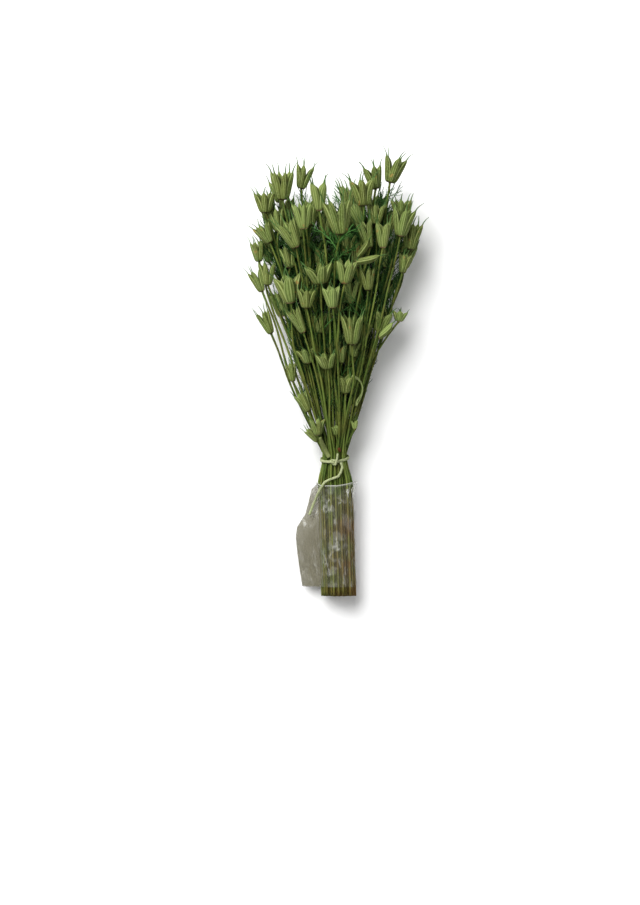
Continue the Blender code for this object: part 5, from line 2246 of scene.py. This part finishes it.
@dataclass
class FilmSleeve:
    """The clear film round the cut ends, with its loose flap at the left."""

    stations: tuple[float, ...] = (-25.0, -32.0, -43.0, -58.0, -70.0, -82.0, -104.0, -131.0)
    outer: tuple[float, ...] = (19.9, 18.9, 18.9, 18.9, 18.9, 18.9, 18.9, 18.9)
    flap_reach: tuple[float, ...] = (17.0, 23.5, 26.0, 30.0, 38.0, 40.0, 37.0, 33.0)
    rim_wave: tuple[tuple[float, ...], ...] = (
        (-18.0, -13.0, 3.0, 12.5, 22.0), (-0.8, -3.4, -3.4, -1.5, 1.2),
    )
    fold_radius: float = 1.6
    flap_drop: float = 8.0
    rows: int = 72
    columns: int = 168
    thickness: float = 0.10
    flat_size: Pair = (0.165, 0.106)
    inset: float = 0.35
    lowest: float = 0.12
    # Each size of crease: how fine it is, how deep its fold is pushed, and how sharp the painted highlight
    # line along it is.
    creases: tuple[Triple, ...] = ((0.085, 0.9, 0.07), (0.19, 0.4, 0.07))
    # How strongly the creases are painted as highlights away from the glint spots, and the painted glint
    # spots: strength, middle and half width across, middle and half length along.
    least_shine: float = 0.34
    glints: tuple[tuple[float, ...], ...] = ((2.2, 15.0, 7.0, -34.0, 12.0), (1.1, -28.0, 10.0, -58.0, 20.0))
    rim_width: float = 1.3
    rim_swell: float = 0.5
    # How strongly the rim is painted as a white highlight line.
    rim_glint: float = 0.9
    flare: float = 2.6
    flare_reach: float = 9.0
    flap_milk: float = 0.42
    flap_from: float = 15.5
    flap_fade: float = 3.0

    def point(self, y: float, direction: float, inset: float) -> Vector:
        """Gives a point of the film's wall.

        Args:
            y: how far along the bunch it is.
            direction: the direction from the middle, in radians.
            inset: how far inside the outer face it lies.

        Returns:
            The point, on the stems or on the flap's fold.
        """
        down = [-station for station in self.stations]
        outer = float(np.interp(-y, down, self.outer)) - inset
        reach = float(np.interp(-y, down, self.flap_reach))
        normal = Vector((math.cos(direction), 0.0, math.sin(direction)))
        on_stems = Vector((axis_x(y), y, axis_z(y))) + normal * outer
        tip = Vector((-(reach - self.fold_radius), y, axis_z(y) - self.flap_drop))
        on_fold = tip + normal * (self.fold_radius - inset)
        return on_fold if on_fold.dot(normal) > on_stems.dot(normal) else on_stems

    def top(self, x: float, y: float) -> float:
        """Gives the height of the upper side of the sleeve over a place."""
        steps = [math.radians(d) for d in range(10, 190, 6)]
        outline = sorted((p.x, p.z) for p in (self.point(y, d, 0.0) for d in steps))
        return float(np.interp(x, *zip(*outline)))

    def outline(self, y: float) -> list[Vector]:
        """Gives the film's outline at a height y, its points evenly apart."""
        hull = [self.point(y, math.radians(d), self.inset) for d in range(0, 361, 3)]
        lengths = stretches(hull)
        stations = np.linspace(0.0, lengths[-1], self.columns, endpoint=False)
        xs = np.interp(stations, lengths, [p.x for p in hull])
        zs = np.interp(stations, lengths, [p.z for p in hull])
        return [Vector((x, y, z)) for x, z in zip(xs, zs)]

    def crumple(self, x: float, y: float, z: float) -> Pair:
        """Gives how far the film is pushed in or out at a place, and the painted highlight along its creases
        there.

        Args:
            x: how far right the place is.
            y: how far up the bunch it is.
            z: how high it is.

        Returns:
            The push in millimetres, and the painted highlight from 0 to 1.
        """
        wide = noise.noise(Vector((x * 0.055, y * 0.040, z * 0.055)))
        push, crease_glint = 0.6 * wide - 0.25, 0.0
        for size, reach, sharp in self.creases:
            spot = Vector((x * size + 0.35 * y * size, y * size * 0.38, z * size + 5.0 * size))
            near, _ = noise.voronoi(spot)
            edge = near[1] - near[0]
            push += reach * (0.35 - min(edge, 0.7))
            broken = noise.noise(Vector((x * 0.16, y * 0.10 + 40.0, z * 0.16)))
            # The sharp crease lines become painted highlight lines, broken up by noise.
            crease_glint += 0.8 * max(1.0 - edge / sharp, 0.0) * limited(3.0 * broken - 0.15)
        shine = self.least_shine
        for strength, middle_x, half_x, middle_y, half_y in self.glints:
            off_x, off_y = (x - middle_x) / half_x, (y - middle_y) / half_y
            shine += strength * math.exp(-(off_x**2) - off_y**2)
        return push, min(crease_glint * shine, 1.0)

    def build(self, material: Material) -> Object:
        """Builds the sleeve as one crumpled sheet with a thin wall.

        Args:
            material: the film's material.

        Returns:
            The sleeve.
        """
        # For each corner: its painted highlight along the creases and rim, and how milky the flap is there.
        places, creases, milky = [], [], []
        for row in range(self.rows + 1):
            share = row / self.rows
            y = SIZES.sleeve_rim_y + (SIZES.sleeve_end_y - SIZES.sleeve_rim_y) * share
            middle = Vector((axis_x(y), y, axis_z(y)))
            rim = math.exp(-((y - SIZES.sleeve_rim_y) / self.rim_width) ** 2)
            near_rim = math.exp((y - SIZES.sleeve_rim_y) / self.flare_reach)
            for point in self.outline(y):
                out = (point - middle).normalized()
                push, crease_glint = self.crumple(*point)
                flare = self.flare * near_rim * max(out.x, 0.0) ** 2
                moved = point + out * (push + self.rim_swell * rim + flare)
                moved.y += float(np.interp(point.x, *self.rim_wave)) * near_rim
                moved.z = max(moved.z, self.lowest)
                places.append(moved)
                # Painted highlight along the creases, plus a white painted highlight line along the rim.
                creases.append(min(crease_glint + self.rim_glint * rim, 1.0))
                beyond = limited((axis_x(y) - point.x - self.flap_from) / self.flap_fade)
                milky.append(self.flap_milk * beyond)
        columns = self.columns
        starts = [row * columns for row in range(self.rows)]
        faces = [
            (start + column, start + beside, start + columns + beside, start + columns + column)
            for start in starts
            for column, beside in zip(range(columns), [*range(1, columns), 0])
        ]
        marks = {"crease_glint": creases, "milky": milky}
        piece = Workbench.mesh_piece("film_sleeve", places, faces, marks, [material])
        Workbench.pick(piece)
        Workbench.open()
        bpy.ops.mesh.normals_make_consistent(inside=False)
        bpy.ops.object.mode_set(mode="OBJECT")
        wall = piece.modifiers.new("wall", "SOLIDIFY")
        wall.thickness = self.thickness * MM
        wall.offset = -1.0
        bpy.ops.object.modifier_apply(modifier="wall")
        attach(piece, "root")
        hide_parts("sleeve")
        return piece


@dataclass
class Studio:
    """The pale floor, the soft light and the camera that looks down on the bunch."""

    centre_x: float = -14.75
    centre_y: float = 4.5
    camera_height: float = 3.05
    lens: float = 119.3
    floor_size: float = 8.0
    floor_drop: float = 0.0003
    floor_colour: Colour = (0.93, 0.93, 0.93)
    lamps: tuple[tuple[str, Triple, float, float], ...] = (
        ("main_softbox", (-0.90, 1.20, 2.00), 1.9, 86.0),
        ("front_softbox", (0.8, -0.6, 2.4), 2.0, 16.0),
    )
    glow: float = 0.13

    def place_camera(self) -> None:
        """Puts the camera over the middle of the photograph's frame, looking straight down."""
        data = bpy.data.cameras.new("overhead_camera")
        data.sensor_width = 36.0
        data.lens = self.lens
        data.clip_end = 50.0
        camera = Workbench.link("overhead_camera", data)
        middle = PLACE.metres([(self.centre_x, self.centre_y, 0.0)])[0]
        camera.location = (middle[0], middle[1], self.camera_height)
        bpy.context.scene.camera = camera

    def lay_floor(self) -> None:
        """Lays the pale floor."""
        bpy.ops.object.select_all(action="DESELECT")
        bpy.ops.mesh.primitive_plane_add(size=self.floor_size, location=(0.0, 0.0, -self.floor_drop))
        floor = bpy.context.object
        floor.name = "pale_floor"
        material, _, shader = NodeBench.material("pale_floor")
        shader.inputs["Base Color"].default_value = (*self.floor_colour, 1.0)
        shader.inputs["Roughness"].default_value = 0.9
        floor.data.materials.append(material)

    def light(self) -> None:
        """Adds a large soft light and an even glow from all round."""
        for name, place, size, power in self.lamps:
            data = bpy.data.lights.new(name, "AREA")
            data.size = size
            data.energy = power
            lamp = Workbench.link(name, data)
            lamp.location = place
            lamp.rotation_euler = (-Vector(place)).to_track_quat("-Z", "Y").to_euler()
        world = bpy.data.worlds.new("soft_surround")
        world.use_nodes = True
        sky = world.node_tree.nodes["Background"].inputs
        sky["Color"].default_value = (1.0, 1.0, 1.0, 1.0)
        sky["Strength"].default_value = self.glow
        bpy.context.scene.world = world
        bpy.context.scene.view_settings.view_transform = "Standard"
        bpy.context.scene.view_settings.look = "Medium High Contrast"

    def build(self) -> None:
        """Sets up the whole studio."""
        self.lay_floor()
        self.light()


def main() -> None:
    """Builds the camera and the cord first, then every other piece, and reports them."""
    logging.basicConfig(level=logging.INFO, format="%(message)s")
    studio = Studio()
    studio.place_camera()
    effects = SharedEffects()
    string = StringFinish("sage_string", 0.80, 0.00012).build(effects)
    tie, sleeve = NeckTie(), FilmSleeve()
    LOG.info("tail: %s", tie.build_tail(sleeve, string).name)
    LOG.info("tie: %s", tie.build_ring(string).name)
    LOG.info("film: %s", sleeve.build(FilmFinish().build(effects)).name)
    plan = BunchPlan()
    plan.lay_out()
    materials = [
        PodFinish("dried_pod_wall", 0.62, 0.00025).build(effects),
        StemFinish("dried_stem", 0.66, 0.00015).build(effects),
        LeafFinish("thread_leaf", 0.70, 0.00010).build(effects),
    ]
    stems = PodStems(plan, materials)
    pieces = stems.build()
    loose = LooseParts(np.concatenate(stems.front))
    for follicle in loose.follicles:
        shape = stems.follicles[FollicleForm.SPLIT]
        LOG.info("loose: %s", loose.lay_follicle(follicle, shape, materials[0]))
    for bit in loose.straps:
        finish = StringFinish(bit.finish, 0.72, 0.00010, *bit.colours).build(effects)
        LOG.info("loose: %s", loose.lay_strap(bit, finish))
    for piece in pieces:
        LOG.info("%s: %d faces", piece.name, len(piece.data.polygons))
    LOG.info("faces in all: %d", sum(len(piece.data.polygons) for piece in pieces))
    studio.build()


if __name__ == "__main__":
    main()
